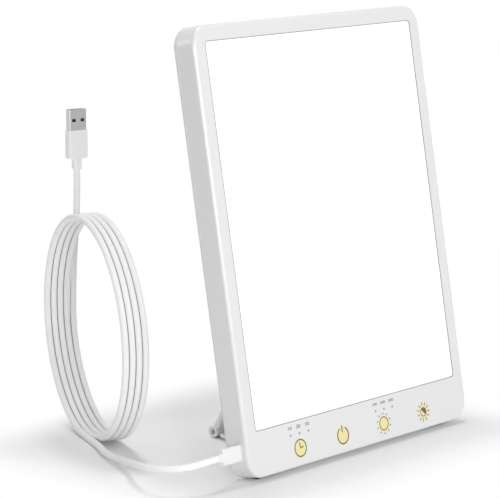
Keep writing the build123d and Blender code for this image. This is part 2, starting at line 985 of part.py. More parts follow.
with BuildPart() as stand_strut:
    with BuildSketch(strut_plane.offset(-strut_thickness / 2)):
        with Locations((0, strut_plate_top / 2)):
            Rectangle(2 * strut_half_width, strut_plate_top)
    extrude(amount=strut_thickness)
    fillet(
        stand_strut.edges().filter_by(Axis((0, 0, 0), strut_plane.z_dir))
        .sort_by(Axis.Z)[-2:],
        radius=6.0,
    )
    # bevelled long edges and top edge on both faces
    for offset_side in (0, -1):
        face = stand_strut.faces().sort_by(
            Axis(strut_plane.origin, strut_plane.z_dir)
        )[offset_side]
        chamfer(face.edges(), length=0.9)
    # recessed panel on the rear face
    with BuildSketch(strut_plane.offset(-strut_thickness / 2)):
        with Locations((0, strut_reach * 0.52)):
            RectangleRounded(2 * strut_half_width - 24, strut_reach * 0.61, 5)
    extrude(amount=0.8, mode=Mode.SUBTRACT)
    bar_along_x(
        -strut_half_width,
        strut_half_width,
        strut_hinge_y,
        hinge_height,
        strut_barrel_radius,
    )
    # gaps for the base's knuckles
    for start, end in strut_knuckle_spans:
        bar_along_x(
            start - side_play,
            end + side_play,
            strut_hinge_y,
            hinge_height,
            strut_barrel_radius + 0.5,
            mode=Mode.SUBTRACT,
        )
    bar_along_x(
        -strut_half_width - 1,
        strut_half_width + 1,
        strut_hinge_y,
        hinge_height,
        pin_radius + running_gap,
        mode=Mode.SUBTRACT,
    )
    # sockets in the barrel's ends where the pin can be seen
    recess_start = strut_half_width - 1.8
    for start, end in (
        (-strut_half_width, -recess_start),
        (recess_start, strut_half_width),
    ):
        bar_along_x(
            start,
            end,
            strut_hinge_y,
            hinge_height,
            pin_radius + 0.5,
            mode=Mode.SUBTRACT,
        )
    # slots for the tips' tongues
    with BuildSketch(strut_plane.offset(-tongue_thickness / 2 - 0.02)):
        for start, end in tip_spans:
            with Locations(
                ((start + end) / 2, strut_plate_top - (tongue_depth + 0.1) / 2)
            ):
                Rectangle(end - start - 4 + 0.1, tongue_depth + 0.1)
    extrude(amount=tongue_thickness + 0.04, mode=Mode.SUBTRACT)
stand_strut.part.label = "stand_strut"
export_step(stand_strut.part, "parts/stand_strut.step")

tip_centre_y = strut_hinge_y - strut_reach * sin(radians(strut_lean))
tip_centre_z = hinge_height + strut_reach * cos(radians(strut_lean))

with BuildPart() as strut_tips:
    with BuildSketch(strut_plane.offset(-tongue_thickness / 2)):
        for start, end in tip_spans:
            with Locations(((start + end) / 2, strut_plate_top - tongue_depth / 2)):
                Rectangle(end - start - 4, tongue_depth)
    extrude(amount=tongue_thickness)
    with BuildSketch(strut_plane.offset(-1.3)):
        for start, end in tip_spans:
            with Locations(((start + end) / 2, (strut_plate_top + strut_reach) / 2)):
                Rectangle(end - start, strut_reach - strut_plate_top)
    extrude(amount=2.6)
    for start, end in tip_spans:
        bar_along_x(start, end, tip_centre_y, tip_centre_z, tip_radius)
strut_tips.part.label = "strut_tips"
export_step(strut_tips.part, "parts/strut_tips.step")

# ---------------------------------------------------------------- cord
axis_x = cos(radians(coil_axis_angle))
axis_y = sin(radians(coil_axis_angle))
head_x = -axis_y
head_y = axis_x
cord_exit = lamp_point(-half_width - plug_length - plug_collar_length,
                       port_height, port_depth)
coil_start = (coil_foot[0], coil_foot[1], cord_diameter / 2)

lead_points = [
    cord_exit,
    (-122.8, cord_exit[1], cord_exit[2]),
    (-135.7, -42.5, 16.2),
    (-144.4, -32.3, 15.1),
    (-146.1, -17.4, 14.2),
    (-137.2, -1.4, 11.3),
    (-126.4, 13.2, 7.2),
    (-118.2, 28.9, 4.7),
    (-110.6, 48.4, 3.2),
    (-97.9, 66.3, 2.0),
    coil_start,
]
tail_points = [
    (-46.8, 140.6, 67.6),
    (-46.0, 140.0, 96.0),
    (usb_place[0], usb_place[1], 125.0),
    (usb_place[0], usb_place[1], usb_bottom),
]


def bend_radii(points):
    """Radius of the arc at each inner point, taken from the shorter run beside it."""
    radii = []
    for before, here, after in zip(points, points[1:], points[2:]):
        into = Vector(here) - Vector(before)
        away = Vector(after) - Vector(here)
        turn = acos(into.normalized().dot(away.normalized()))
        radii.append(0.45 * min(into.length, away.length) / tan(turn / 2))
    return radii


for label, points in (("cord_lead", lead_points), ("cord_tail", tail_points)):
    radii = bend_radii(points)
    runs = [(Vector(b) - Vector(a)).length for a, b in zip(points, points[1:])]
    with BuildPart() as cord_run:
        with BuildLine() as route:
            FilletPolyline(*points, radius=radii)
        with BuildSketch(Plane(origin=points[0], z_dir=route.line % 0)):
            Circle(cord_diameter / 2)
        sweep()
    section = pi * cord_diameter**2 / 4
    run_length = sum(edge.length for edge in route.edges())
    print(label, "runs", [round(r, 1) for r in runs])
    print(label, "radii", [round(r, 1) for r in radii])
    print(
        label,
        "length",
        round(run_length, 1),
        "volume",
        round(cord_run.part.volume, 1),
        "section x length",
        round(section * run_length, 1),
    )
    cord_run.part.label = label
    export_step(cord_run.part, f"parts/{label}.step")

# the coil as one solid of its outer shape: an upright ring standing on the table
coil_middle = 7.5
coil_width = 20.0
coil_plane = Plane(
    origin=(
        coil_foot[0] + axis_x * (coil_middle - coil_width / 2),
        coil_foot[1] + axis_y * (coil_middle - coil_width / 2),
        coil_radius + cord_diameter / 2,
    ),
    x_dir=(head_x, head_y, 0),
    z_dir=(axis_x, axis_y, 0),
)
with BuildPart() as cord_coil:
    with BuildSketch(coil_plane):
        Circle(coil_radius + cord_diameter / 2)
        Circle(coil_radius - cord_diameter / 2, mode=Mode.SUBTRACT)
    extrude(amount=coil_width)
cord_coil.part.label = "cord_coil"
export_step(cord_coil.part, "parts/cord_coil.step")

turn_length = hypot(2 * pi * coil_radius, coil_pitch)
print("coil length", round((coil_turns + 0.25) * turn_length, 1))

# ---------------------------------------------------------------- USB-A plug
usb_plane = Plane(
    origin=(usb_place[0], usb_place[1], usb_bottom),
    x_dir=(cos(radians(usb_turn)), sin(radians(usb_turn)), 0),
    z_dir=(0, 0, 1),
)
mold_bottom = usb_collar_length
shell_inside_width = usb_shell_width - 2 * usb_sheet
shell_inside_thickness = usb_shell_thickness - 2 * usb_sheet
mold_top = mold_bottom + usb_mold_length

with BuildPart() as usb_a_collar:
    with BuildSketch(usb_plane):
        RectangleRounded(usb_collar_width, usb_collar_thickness, 1.4)
    extrude(amount=usb_collar_length)
    fillet(usb_a_collar.faces().sort_by(Axis.Z)[0].edges(), radius=0.35)
usb_a_collar.part.label = "usb_a_collar"
export_step(usb_a_collar.part, "parts/usb_a_collar.step")

with BuildPart() as usb_a_overmold:
    with BuildSketch(usb_plane.offset(mold_bottom)):
        RectangleRounded(usb_mold_width, usb_mold_thickness, 1.5)
    extrude(amount=usb_mold_length)
    fillet(usb_a_overmold.faces().sort_by(Axis.Z)[0].edges(), radius=0.8)
    fillet(usb_a_overmold.faces().sort_by(Axis.Z)[-1].edges(), radius=0.5)
    # socket in the overmould that holds the insert's root
    with BuildSketch(usb_plane.offset(mold_top)):
        Rectangle(shell_inside_width, shell_inside_thickness)
    extrude(amount=-6.0, mode=Mode.SUBTRACT)
usb_a_overmold.part.label = "usb_a_overmold"
export_step(usb_a_overmold.part, "parts/usb_a_overmold.step")

with BuildPart() as usb_a_shell:
    with BuildSketch(usb_plane.offset(mold_top)):
        RectangleRounded(usb_shell_width, usb_shell_thickness, 0.5)
        RectangleRounded(
            shell_inside_width, shell_inside_thickness, 0.2, mode=Mode.SUBTRACT
        )
    extrude(amount=usb_shell_length)
    # square latch windows through both wide walls
    with BuildSketch(
        Plane(
            origin=usb_plane.from_local_coords(
                (0, -usb_shell_thickness, mold_top + usb_window_rise)
            ),
            x_dir=usb_plane.x_dir,
            z_dir=usb_plane.y_dir,
        )
    ):
        with GridLocations(usb_shell_width / 2, 0, 2, 1):
            Rectangle(usb_window_width, usb_window_height)
    extrude(amount=2 * usb_shell_thickness, mode=Mode.SUBTRACT)
usb_a_shell.part.label = "usb_a_shell"
export_step(usb_a_shell.part, "parts/usb_a_shell.step")

insert_thickness = shell_inside_thickness / 2 - 0.1

with BuildPart() as usb_a_insert:
    with BuildSketch(usb_plane.offset(mold_top - 5.0)):
        with Locations((0, insert_thickness / 2)):
            Rectangle(shell_inside_width - 2 * press_gap, insert_thickness)
    extrude(amount=5.0 + usb_shell_length - 0.9)
usb_a_insert.part.label = "usb_a_insert"
export_step(usb_a_insert.part, "parts/usb_a_insert.step")

contact_height = 0.24
with BuildPart() as usb_a_contacts:
    with BuildSketch(usb_plane.offset(mold_top - 4.0)):
        with Locations(*[(x, -contact_height / 2) for x in (-3.5, -1.0, 1.0, 3.5)]):
            Rectangle(1.1, contact_height)
    extrude(amount=4.0 + usb_shell_length - 2.4)
usb_a_contacts.part.label = "usb_a_contacts"
export_step(usb_a_contacts.part, "parts/usb_a_contacts.step")

# ---------------------------------------------------------------- figures worth knowing
print("lamp face line y", round(face_y, 3), "hinge rise and depth",
      round(hinge_rise, 3), round(hinge_depth, 3))
print("base hinge at", round(base_hinge_y, 3), hinge_height)
print("strut hinge at", round(strut_hinge_y, 3), hinge_height)
print("strut angle", round(strut_angle, 3), "strut lean", round(strut_lean, 3),
      "tip rise", round(tip_rise, 2), "tip depth", round(tip_depth, 2))
print("pad outline y", round(plate_front_y, 2), round(plate_rear_y, 2))
print("cord exit", [round(c, 2) for c in cord_exit])
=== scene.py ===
"""Table light therapy lamp: finishes, fine details, power cord, floor, light and camera."""

import logging
import math
from dataclasses import dataclass
from enum import Enum
from typing import Sequence

import bmesh
import bpy
from mathutils import Matrix, Vector


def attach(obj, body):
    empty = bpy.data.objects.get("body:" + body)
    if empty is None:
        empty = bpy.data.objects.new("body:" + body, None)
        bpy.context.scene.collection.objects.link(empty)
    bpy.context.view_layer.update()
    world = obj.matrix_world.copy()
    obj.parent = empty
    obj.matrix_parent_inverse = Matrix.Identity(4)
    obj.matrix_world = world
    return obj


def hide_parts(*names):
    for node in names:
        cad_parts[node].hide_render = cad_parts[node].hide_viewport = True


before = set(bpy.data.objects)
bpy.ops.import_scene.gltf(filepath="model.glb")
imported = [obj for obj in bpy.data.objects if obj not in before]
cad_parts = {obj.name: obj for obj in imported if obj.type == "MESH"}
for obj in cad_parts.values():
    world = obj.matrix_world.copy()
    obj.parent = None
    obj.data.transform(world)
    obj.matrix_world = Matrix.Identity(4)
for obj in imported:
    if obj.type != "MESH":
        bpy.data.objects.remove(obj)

log = logging.getLogger("light_therapy_lamp")
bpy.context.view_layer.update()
MM = 0.001
ARC_STEPS = 48
ARC_END_STEPS = 8
GRAIN_DEPTH = 0.00004
GRAIN_DETAIL = 2.0
SLOW_CHANGE_SCALE = 14.0
SLOW_CHANGE_DETAIL = 3.0
SOCKET_OF_SIZE = {1: "NodeSocketFloat", 3: "NodeSocketVector", 4: "NodeSocketColor"}
Point = tuple[float, float, float]
Flat = tuple[float, float]
Span = tuple[float, float]
Colour = tuple[float, float, float]
Inputs = dict[str | int, object]


def srgb(red: int, green: int, blue: int) -> Colour:
    """Turns a screen colour into the linear colour that a shader takes.

    Args:
        red: Red from 0 to 255.
        green: Green from 0 to 255.
        blue: Blue from 0 to 255.

    Returns:
        The linear red, green and blue.
    """

    def channel(value: int) -> float:
        """One channel, made linear."""
        share = value / 255
        return share / 12.92 if share <= 0.04045 else ((share + 0.055) / 1.055) ** 2.4

    return channel(red), channel(green), channel(blue)


class Grain(Enum):
    """Fineness of a surface's texture, as noise cells per metre."""

    POLISHED = 900.0
    SPARK = 1500.0
    RUBBER = 2000.0
    SATIN = 2600.0
    BRUSHED = 4200.0


class Body(Enum):
    """The lamp's three moving bodies."""

    LAMP = "lamp"
    BASE = "base"
    STRUT = "strut"


def opaque_grey(level: float) -> tuple[float, float, float, float]:
    """A neutral colour for a shader's colour socket."""
    return level, level, level, 1.0


# ------------------------------------------------------------------ node trees
class Wiring:
    """Adds nodes to a tree and joins them up."""

    def __init__(self, tree: bpy.types.NodeTree) -> None:
        """Takes the tree to work on."""
        self.tree = tree

    def node(
        self, kind: str, inputs: Inputs | None = None, **settings: object
    ) -> bpy.types.Node:
        """Adds a node with its properties and inputs.

        Args:
            kind: The node's type.
            inputs: A value or a socket for each input, by name or number.
            **settings: Its properties by name.

        Returns:
            The node.
        """
        new = self.tree.nodes.new(kind)
        for key, value in settings.items():
            setattr(new, key, value)
        self.feed(new, inputs or {})
        return new

    def feed(self, node: bpy.types.Node, inputs: Inputs) -> None:
        """Sets a node's inputs, or links them where a socket is given.

        Args:
            node: The node.
            inputs: A value or a socket for each input, by name or number.
        """
        for key, value in inputs.items():
            if isinstance(value, bpy.types.NodeSocket):
                self.tree.links.new(value, node.inputs[key])
            else:
                node.inputs[key].default_value = value

    def maths(self, operation: str, *values: object) -> bpy.types.NodeSocket:
        """Adds a Math node.

        Args:
            operation: The node's operation.
            *values: Numbers or sockets for its inputs in order.

        Returns:
            The result's socket.
        """
        inputs = dict(enumerate(values))
        return self.node("ShaderNodeMath", inputs, operation=operation).outputs[0]

    def blend(
        self, factor: object, first: object, second: object, **settings: object
    ) -> bpy.types.NodeSocket:
        """Adds a Mix node for colours.

        Args:
            factor: Share of the second colour, as a number or a socket.
            first: The first colour or its socket.
            second: The second colour or its socket.
            **settings: The node's properties by name.

        Returns:
            The mixed colour's socket.
        """
        inputs = {"Factor": factor, "A": first, "B": second}
        mix = self.node("ShaderNodeMix", inputs, data_type="RGBA", **settings)
        return mix.outputs["Result"]

    def smooth_range(self, inputs: Inputs) -> bpy.types.NodeSocket:
        """Adds a smoothly rising Map Range node and gives its result's socket."""
        kind = "ShaderNodeMapRange"
        return self.node(kind, inputs, interpolation_type="SMOOTHSTEP").outputs["Result"]


class ShaderGroup(Wiring):
    """A shader node group with named inputs and outputs, built once and shared."""

    def __init__(self, name: str, takes: dict[str, object], gives: dict[str, int]) -> None:
        """Starts the group with its sockets.

        Args:
            name: The group's name.
            takes: Default value of each input, by name.
            gives: How many numbers each output holds, by name.
        """
        super().__init__(bpy.data.node_groups.new(name, "ShaderNodeTree"))
        face = self.tree.interface
        for key, value in takes.items():
            kind = SOCKET_OF_SIZE[1 if isinstance(value, float) else len(value)]
            face.new_socket(key, in_out="INPUT", socket_type=kind).default_value = value
        for key, size in gives.items():
            face.new_socket(key, in_out="OUTPUT", socket_type=SOCKET_OF_SIZE[size])
        self.source = self.node("NodeGroupInput").outputs

    def close(self, results: Inputs) -> bpy.types.NodeTree:
        """Links the group's outputs to their results.

        Args:
            results: The socket of each output, by name.

        Returns:
            The finished group.
        """
        self.node("NodeGroupOutput", results)
        return self.tree


def moulded_surface_group() -> bpy.types.NodeTree:
    """Fine moulding grain with slow changes of tone and gloss.

    Returns:
        A group that gives Colour, Roughness and Normal.
    """
    takes = {
        "Colour": opaque_grey(0.8),
        "Roughness": 0.4,
        "Grain Scale": 2000.0,
        "Grain Height": 0.1,
        "Tone Change": 0.02,
        "Gloss Change": 0.05,
    }
    group = ShaderGroup("MouldedSurface", takes, {"Colour": 4, "Roughness": 1, "Normal": 3})
    source = group.source
    place = group.node("ShaderNodeTexCoord").outputs["Object"]
    slow = {"Vector": place, "Scale": SLOW_CHANGE_SCALE, "Detail": SLOW_CHANGE_DETAIL}
    fine = {"Vector": place, "Scale": source["Grain Scale"], "Detail": GRAIN_DETAIL}
    drift = group.node("ShaderNodeTexNoise", slow).outputs["Fac"]
    grain = group.node("ShaderNodeTexNoise", fine).outputs["Fac"]
    sway = group.maths("SUBTRACT", drift, 0.5)
    tone = group.maths("MULTIPLY_ADD", sway, source["Tone Change"], 1.0)
    shade = group.node("ShaderNodeCombineColor", dict.fromkeys(range(3), tone))
    gloss = group.maths("MULTIPLY", sway, source["Gloss Change"])
    relief = {"Distance": GRAIN_DEPTH, "Height": grain, "Strength": source["Grain Height"]}
    both = {"first": source["Colour"], "second": shade.outputs["Color"]}
    results = {
        "Colour": group.blend(1.0, **both, blend_type="MULTIPLY"),
        "Roughness": group.maths("ADD", source["Roughness"], gloss),
        "Normal": group.node("ShaderNodeBump", relief).outputs["Normal"],
    }
    return group.close(results)


def soft_spot_group() -> bpy.types.NodeTree:
    """A round mask on the lamp's face that fades out at its edge.

    Returns:
        A group that gives Mask, which is Share inside the core and 0 past the halo.
    """
    takes = {
        "Centre": (0.0, 0.0, 0.0),
        "Core Radius": 0.004,
        "Halo Radius": 0.006,
        "Share": 1.0,
    }
    group = ShaderGroup("SoftSpot", takes, {"Mask": 1})
    source = group.source
    ends = {0: group.node("ShaderNodeTexCoord").outputs["Object"], 1: source["Centre"]}
    apart = group.node("ShaderNodeVectorMath", ends, operation="DISTANCE")
    mask = group.smooth_range(
        {
            "Value": apart.outputs["Value"],
            "From Min": source["Core Radius"],
            "From Max": source["Halo Radius"],
            "To Min": source["Share"],
            "To Max": 0.0,
        }
    )
    return group.close({"Mask": mask})


MOULDED = moulded_surface_group()
SPOT = soft_spot_group()


# ------------------------------------------------------------------ finishes
@dataclass(frozen=True)
class Finish:
    """A finish of one material: its colour, gloss and grain."""

    name: str
    colour: Colour
    roughness: float = 0.4
    grain: Grain = Grain.SATIN
    grain_height: float = 0.1
    metallic: float = 0.0
    tone_change: float = 0.02
    gloss_change: float = 0.06
    transmission: float = 0.0
    specular: float = 0.5
    coat: float = 0.0
    coat_roughness: float = 0.14

    def material(self) -> bpy.types.Material:
        """Builds the material, or gives the one built before.

        Returns:
            A node material with this finish.
        """
        found = bpy.data.materials.get(self.name)
        if found is not None:
            return found
        material = bpy.data.materials.new(self.name)
        material.use_nodes = True
        wiring = Wiring(material.node_tree)
        surface = {
            "Colour": (*self.colour, 1.0),
            "Roughness": self.roughness,
            "Grain Scale": self.grain.value,
            "Grain Height": self.grain_height,
            "Tone Change": self.tone_change,
            "Gloss Change": self.gloss_change,
        }
        moulded = wiring.node("ShaderNodeGroup", surface, node_tree=MOULDED).outputs
        shading = {
            "Metallic": self.metallic,
            "Transmission Weight": self.transmission,
            "Specular IOR Level": self.specular,
            "Coat Weight": self.coat,
            "Coat Roughness": self.coat_roughness,
            "Roughness": moulded["Roughness"],
            "Normal": moulded["Normal"],
            "Base Color": self.tinted(wiring, moulded["Colour"]),
            **self.light(wiring),
        }
        wiring.feed(material.node_tree.nodes["Principled BSDF"], shading)
        return material

    def tinted(self, wiring: Wiring, colour: bpy.types.NodeSocket) -> bpy.types.NodeSocket:
        """Gives the base colour's socket; finishes with spots or painted crevice shade add
        to it.
        """
        return colour

    def light(self, wiring: Wiring) -> Inputs:
        """Gives the shader no light; a lit finish gives it its glow."""
        return {}


@dataclass(frozen=True)
class SpottedFinish(Finish):
    """A finish with soft round spots of a second colour on it."""

    spots: tuple[Point, ...] = ()
    spot_colour: Colour = (1.0, 1.0, 1.0)
    core_radius: float = 0.004
    halo_radius: float = 0.006
    spot_share: float = 1.0

    def tinted(self, wiring: Wiring, colour: bpy.types.NodeSocket) -> bpy.types.NodeSocket:
        """Lays the spots over the base colour.

        Args:
            wiring: The material's nodes.
            colour: The socket of the colour under them.

        Returns:
            The socket with the spots mixed in.
        """
        spot = {
            "Core Radius": self.core_radius,
            "Halo Radius": self.halo_radius,
            "Share": self.spot_share,
        }
        for centre in self.spots:
            spot["Centre"] = centre
            mask = wiring.node("ShaderNodeGroup", spot, node_tree=SPOT).outputs["Mask"]
            colour = wiring.blend(mask, colour, (*self.spot_colour, 1.0))
        return colour


@dataclass(frozen=True)
class CreviceShadeFinish(Finish):
    """A finish with painted shade in its narrow crevices, as between a coil's turns."""

    crevice_shade_colour: Colour = srgb(168, 168, 170)
    crevice_reach: float = 0.0032
    shut_level: float = 0.1
    open_level: float = 0.58
    probe_rays: int = 32

    def tinted(self, wiring: Wiring, colour: bpy.types.NodeSocket) -> bpy.types.NodeSocket:
        """Paints shade into the base colour where the surface is shut in.

        Args:
            wiring: The material's nodes.
            colour: The socket of the plain colour.

        Returns:
            The socket with painted shade in the crevices.
        """
        # Painted shade: an ambient occlusion probe greys the colour where the turns close
        # in on each other.
        reach = {"Distance": self.crevice_reach}
        openness = wiring.node(
            "ShaderNodeAmbientOcclusion", reach, samples=self.probe_rays, only_local=True
        )
        share = wiring.smooth_range(
            {
                "Value": openness.outputs["AO"],
                "From Min": self.shut_level,
                "From Max": self.open_level,
            }
        )
        return wiring.blend(share, (*self.crevice_shade_colour, 1.0), colour)


@dataclass(frozen=True)
class LitFinish(Finish):
    """A finish that glows: fully to the eye and in gloss, softly on what is round it."""

    glow: float = 0.97
    cast_glow: float = 0.25

    def light(self, wiring: Wiring) -> Inputs:
        """Sets the glow through the emission colour.

        Args:
            wiring: The material's nodes.

        Returns:
            The shader's emission inputs.
        """
        rays = wiring.node("ShaderNodeLightPath").outputs
        seen = wiring.maths("MAXIMUM", rays["Is Camera Ray"], rays["Is Glossy Ray"])
        glow = wiring.blend(seen, opaque_grey(self.cast_glow), opaque_grey(self.glow))
        return {"Emission Strength": 1.0, "Emission Color": glow}


# ------------------------------------------------------------------ the leaning face
@dataclass(frozen=True)
class LeaningFace:
    """The lamp's front face, which leans back from its bottom line.

    Its sizes are in millimetres.
    """

    lean: float = math.radians(10.0)
    line_y: float = -54.656
    lift: float = 3.0
    case_width: float = 198.0
    case_height: float = 253.0
    case_depth: float = 16.5

    def matrix(self, u: float, v: float, n: float) -> Matrix:
        """Frame at a point of the face, with X across, Y up the face and Z outward.

        Args:
            u: Millimetres to the right of the middle.
            v: Millimetres up the face from its bottom line.
            n: Millimetres in behind the front face.

        Returns:
            The matrix in metres.
        """
        sine, cosine = math.sin(self.lean), math.cos(self.lean)
        y = self.line_y + v * sine + n * cosine
        z = self.lift + v * cosine - n * sine
        turn = Matrix.Rotation(math.pi / 2 - self.lean, 4, "X")
        return Matrix.Translation(Vector((u, y, z)) * MM) @ turn

    def back_matrix(self, n: float) -> Matrix:
        """The frame at the bottom line's middle turned round, with Z out of the back."""
        return self.matrix(0, 0, n) @ Matrix.Rotation(math.pi, 4, "Y")

    def point(self, u: float, v: float) -> Point:
        """A point of the front face, in metres."""
        return tuple(self.matrix(u, v, 0.0).translation)


FACE = LeaningFace()


# ------------------------------------------------------------------ mesh making
def add_object(name: str, data: bpy.types.ID) -> bpy.types.Object:
    """Puts a mesh, curve, lamp or camera into the scene.

    Args:
        name: The object's name.
        data: What it shows.

    Returns:
        The object, at the origin.
    """
    item = bpy.data.objects.new(name, data)
    bpy.context.collection.objects.link(item)
    return item


def plain_mesh(item: bpy.types.Object) -> bpy.types.Mesh:
    """An object's finished shape as a mesh of its own."""
    depsgraph = bpy.context.evaluated_depsgraph_get()
    result = item.evaluated_get(depsgraph)
    return bpy.data.meshes.new_from_object(result, depsgraph=depsgraph)


def arc(middle: Flat, radius: float, span: Span, steps: int) -> list[Flat]:
    """Points along an arc, with both its ends.

    Args:
        middle: Its middle.
        radius: Its radius.
        span: First and last angle in degrees.
        steps: How many steps lie between the ends.

    Returns:
        The points in order.
    """
    (x, y), (first, last) = middle, span
    angles = [math.radians(first + (last - first) * i / steps) for i in range(steps + 1)]
    return [(x + radius * math.cos(a), y + radius * math.sin(a)) for a in angles]


def circle(radius: float, steps: int) -> list[Flat]:
    """Corners of a round outline about the middle, anticlockwise."""
    return arc((0.0, 0.0), radius, (0.0, 360.0), steps)[:-1]


class Shape:
    """A mesh under construction, in millimetres, that ends up placed in metres.

    The levels of a flat form are the heights of its underside and its top.
    """

    def __init__(self, mesh: bmesh.types.BMesh | None = None) -> None:
        """Starts from an empty mesh, or from one that is given."""
        self.mesh = mesh or bmesh.new()

    def loop(self, outline: Sequence[Flat], height: float) -> list[bmesh.types.BMVert]:
        """Adds the corners of an outline at one height."""
        return [self.mesh.verts.new((x, y, height)) for x, y in outline]

    def skin(self, loops: Sequence[list[bmesh.types.BMVert]]) -> None:
        """Joins each closed loop of corners to the next one with faces.

        Args:
            loops: Loops with the same number of corners.
        """
        for here, there in zip(loops, loops[1:]):
            for i in range(len(here)):
                j = (i + 1) % len(here)
                self.mesh.faces.new((here[i], here[j], there[j], there[i]))

    def prism(self, outline: Sequence[Flat], levels: Span) -> None:
        """Adds a closed upright prism.

        Args:
            outline: The corners in order, anticlockwise seen from above.
            levels: Its levels.
        """
        lower, upper = (self.loop(outline, height) for height in levels)
        self.mesh.faces.new(reversed(lower))
        self.mesh.faces.new(upper)
        self.skin((lower, upper))

    def arc_band(self, radius: float, width: float, span: Span, levels: Span) -> None:
        """Adds a flat band that follows an arc round the middle, with square ends.

        Args:
            radius: Radius of the band's middle line.
            width: Width of the band.
            span: First and last angle in degrees.
            levels: Its levels.
        """
        low, high = levels
        inner = arc((0.0, 0.0), radius - width / 2, span, ARC_STEPS)
        outer = arc((0.0, 0.0), radius + width / 2, span, ARC_STEPS)
        rows = []
        for a, b in zip(inner, outer):
            corners = ((*a, low), (*b, low), (*b, high), (*a, high))
            rows.append([self.mesh.verts.new(corner) for corner in corners])
        self.mesh.faces.new(rows[0])
        self.mesh.faces.new(reversed(rows[-1]))
        self.skin(rows)

    def ring(self, radius: float, width: float, levels: Span) -> None:
        """Adds a flat closed ring round the middle.

        Args:
            radius: Radius of the ring's middle line.
            width: Width of the ring.
            levels: Its levels.
        """
        low, high = levels
        inner = circle(radius - width / 2, ARC_STEPS)
        outer = circle(radius + width / 2, ARC_STEPS)
        corners = ((inner, low), (outer, low), (outer, high), (inner, high))
        loops = [self.loop(outline, height) for outline, height in corners]
        self.skin((*loops, loops[0]))

    def bar(self, ends: tuple[Flat, Flat], width: float, levels: Span) -> None:
        """Adds a flat bar with round ends between two points.

        Args:
            ends: Ends of its middle line.
            width: Width of the bar.
            levels: Its levels.
        """
        start, end = ends
        ahead = math.degrees(math.atan2(end[1] - start[1], end[0] - start[0]))
        outline = []
        for middle, first in ((end, ahead - 90.0), (start, ahead + 90.0)):
            outline += arc(middle, width / 2, (first, first + 180.0), ARC_END_STEPS)
        self.prism(outline, levels)

    def finished(self, name: str, finish: Finish, place: Matrix) -> bpy.types.Object:
        """Turns the shape into an object placed through its mesh.

        Args:
            name: The object's name.
            finish: Its finish.
            place: Frame in metres that the millimetre shape is put into.

        Returns:
            The object, at the origin.
        """
        bmesh.ops.recalc_face_normals(self.mesh, faces=self.mesh.faces)
        self.mesh.transform(place @ Matrix.Scale(MM, 4))
        data = bpy.data.meshes.new(name)
        self.mesh.to_mesh(data)
        self.mesh.free()
        data.materials.append(finish.material())
        return add_object(name, data)

    def sample(self, name: str, finish: Finish) -> bpy.types.Object:
        """Turns the shape into a sample for copies, left in millimetres."""
        return self.finished(name, finish, Matrix.Scale(1 / MM, 4))


# ------------------------------------------------------------------ geometry nodes
class RepeatTree(Wiring):
    """Geometry nodes that set copies of one part on points and join them up."""

    def __init__(self, name: str, **inputs: str) -> None:
        """Starts the tree with its geometry, its own inputs, Part and Finish.

        Args:
            name: The tree's name.
            **inputs: Socket types of its own inputs; a line in a name stands for a space.
        """
        super().__init__(bpy.data.node_groups.new(name, "GeometryNodeTree"))
        self.keys: dict[str, str] = {}
        sockets = {"Geometry": "NodeSocketGeometry"}
        sockets |= {key.replace("_", " "): kind for key, kind in inputs.items()}
        sockets |= {"Part": "NodeSocketObject", "Finish": "NodeSocketMaterial"}
        face = self.tree.interface
        for key, kind in sockets.items():
            made = face.new_socket(key, in_out="INPUT", socket_type=kind)
            self.keys[key] = made.identifier
        face.new_socket("Geometry", in_out="OUTPUT", socket_type="NodeSocketGeometry")
        self.source = self.node("NodeGroupInput").outputs

    def close(self, points: bpy.types.NodeSocket, turn: bpy.types.NodeSocket) -> None:
        """Sets the part on the points, makes it real and gives it its finish.

        Args:
            points: Geometry whose points carry the copies.
            turn: Turn of each copy about Z, in radians.
        """
        euler = self.node("ShaderNodeCombineXYZ", {"Z": turn}).outputs["Vector"]
        rotation = self.node("FunctionNodeEulerToRotation", {"Euler": euler})
        part = self.node("GeometryNodeObjectInfo", {"Object": self.source["Part"]})
        placing = {
            "Points": points,
            "Instance": part.outputs["Geometry"],
            "Rotation": rotation.outputs["Rotation"],
        }
        copies = self.node("GeometryNodeInstanceOnPoints", placing).outputs["Instances"]
        real = self.node("GeometryNodeRealizeInstances", {"Geometry": copies})
        dressing = {"Geometry": real.outputs["Geometry"], "Material": self.source["Finish"]}
        dressed = self.node("GeometryNodeSetMaterial", dressing).outputs["Geometry"]
        self.node("NodeGroupOutput", {"Geometry": dressed})

    def bake(
        self, name: str, carrier: bpy.types.Mesh, values: dict[str, object], place: Matrix
    ) -> bpy.types.Object:
        """Runs the tree on a carrier mesh and keeps only its plain mesh.

        Args:
            name: Name of the finished piece.
            carrier: Mesh that the tree starts from.
            values: The tree's inputs by name.
            place: Frame in metres that the millimetre result is put into.

        Returns:
            The finished piece, at the origin.
        """
        item = add_object(name, carrier)
        modifier = item.modifiers.new("repeat", "NODES")
        modifier.node_group = self.tree
        for key, value in values.items():
            modifier[self.keys[key]] = value
        result = plain_mesh(item)
        item.modifiers.clear()
        item.data = result
        result.name = name
        result.transform(place @ Matrix.Scale(MM, 4))
        return item


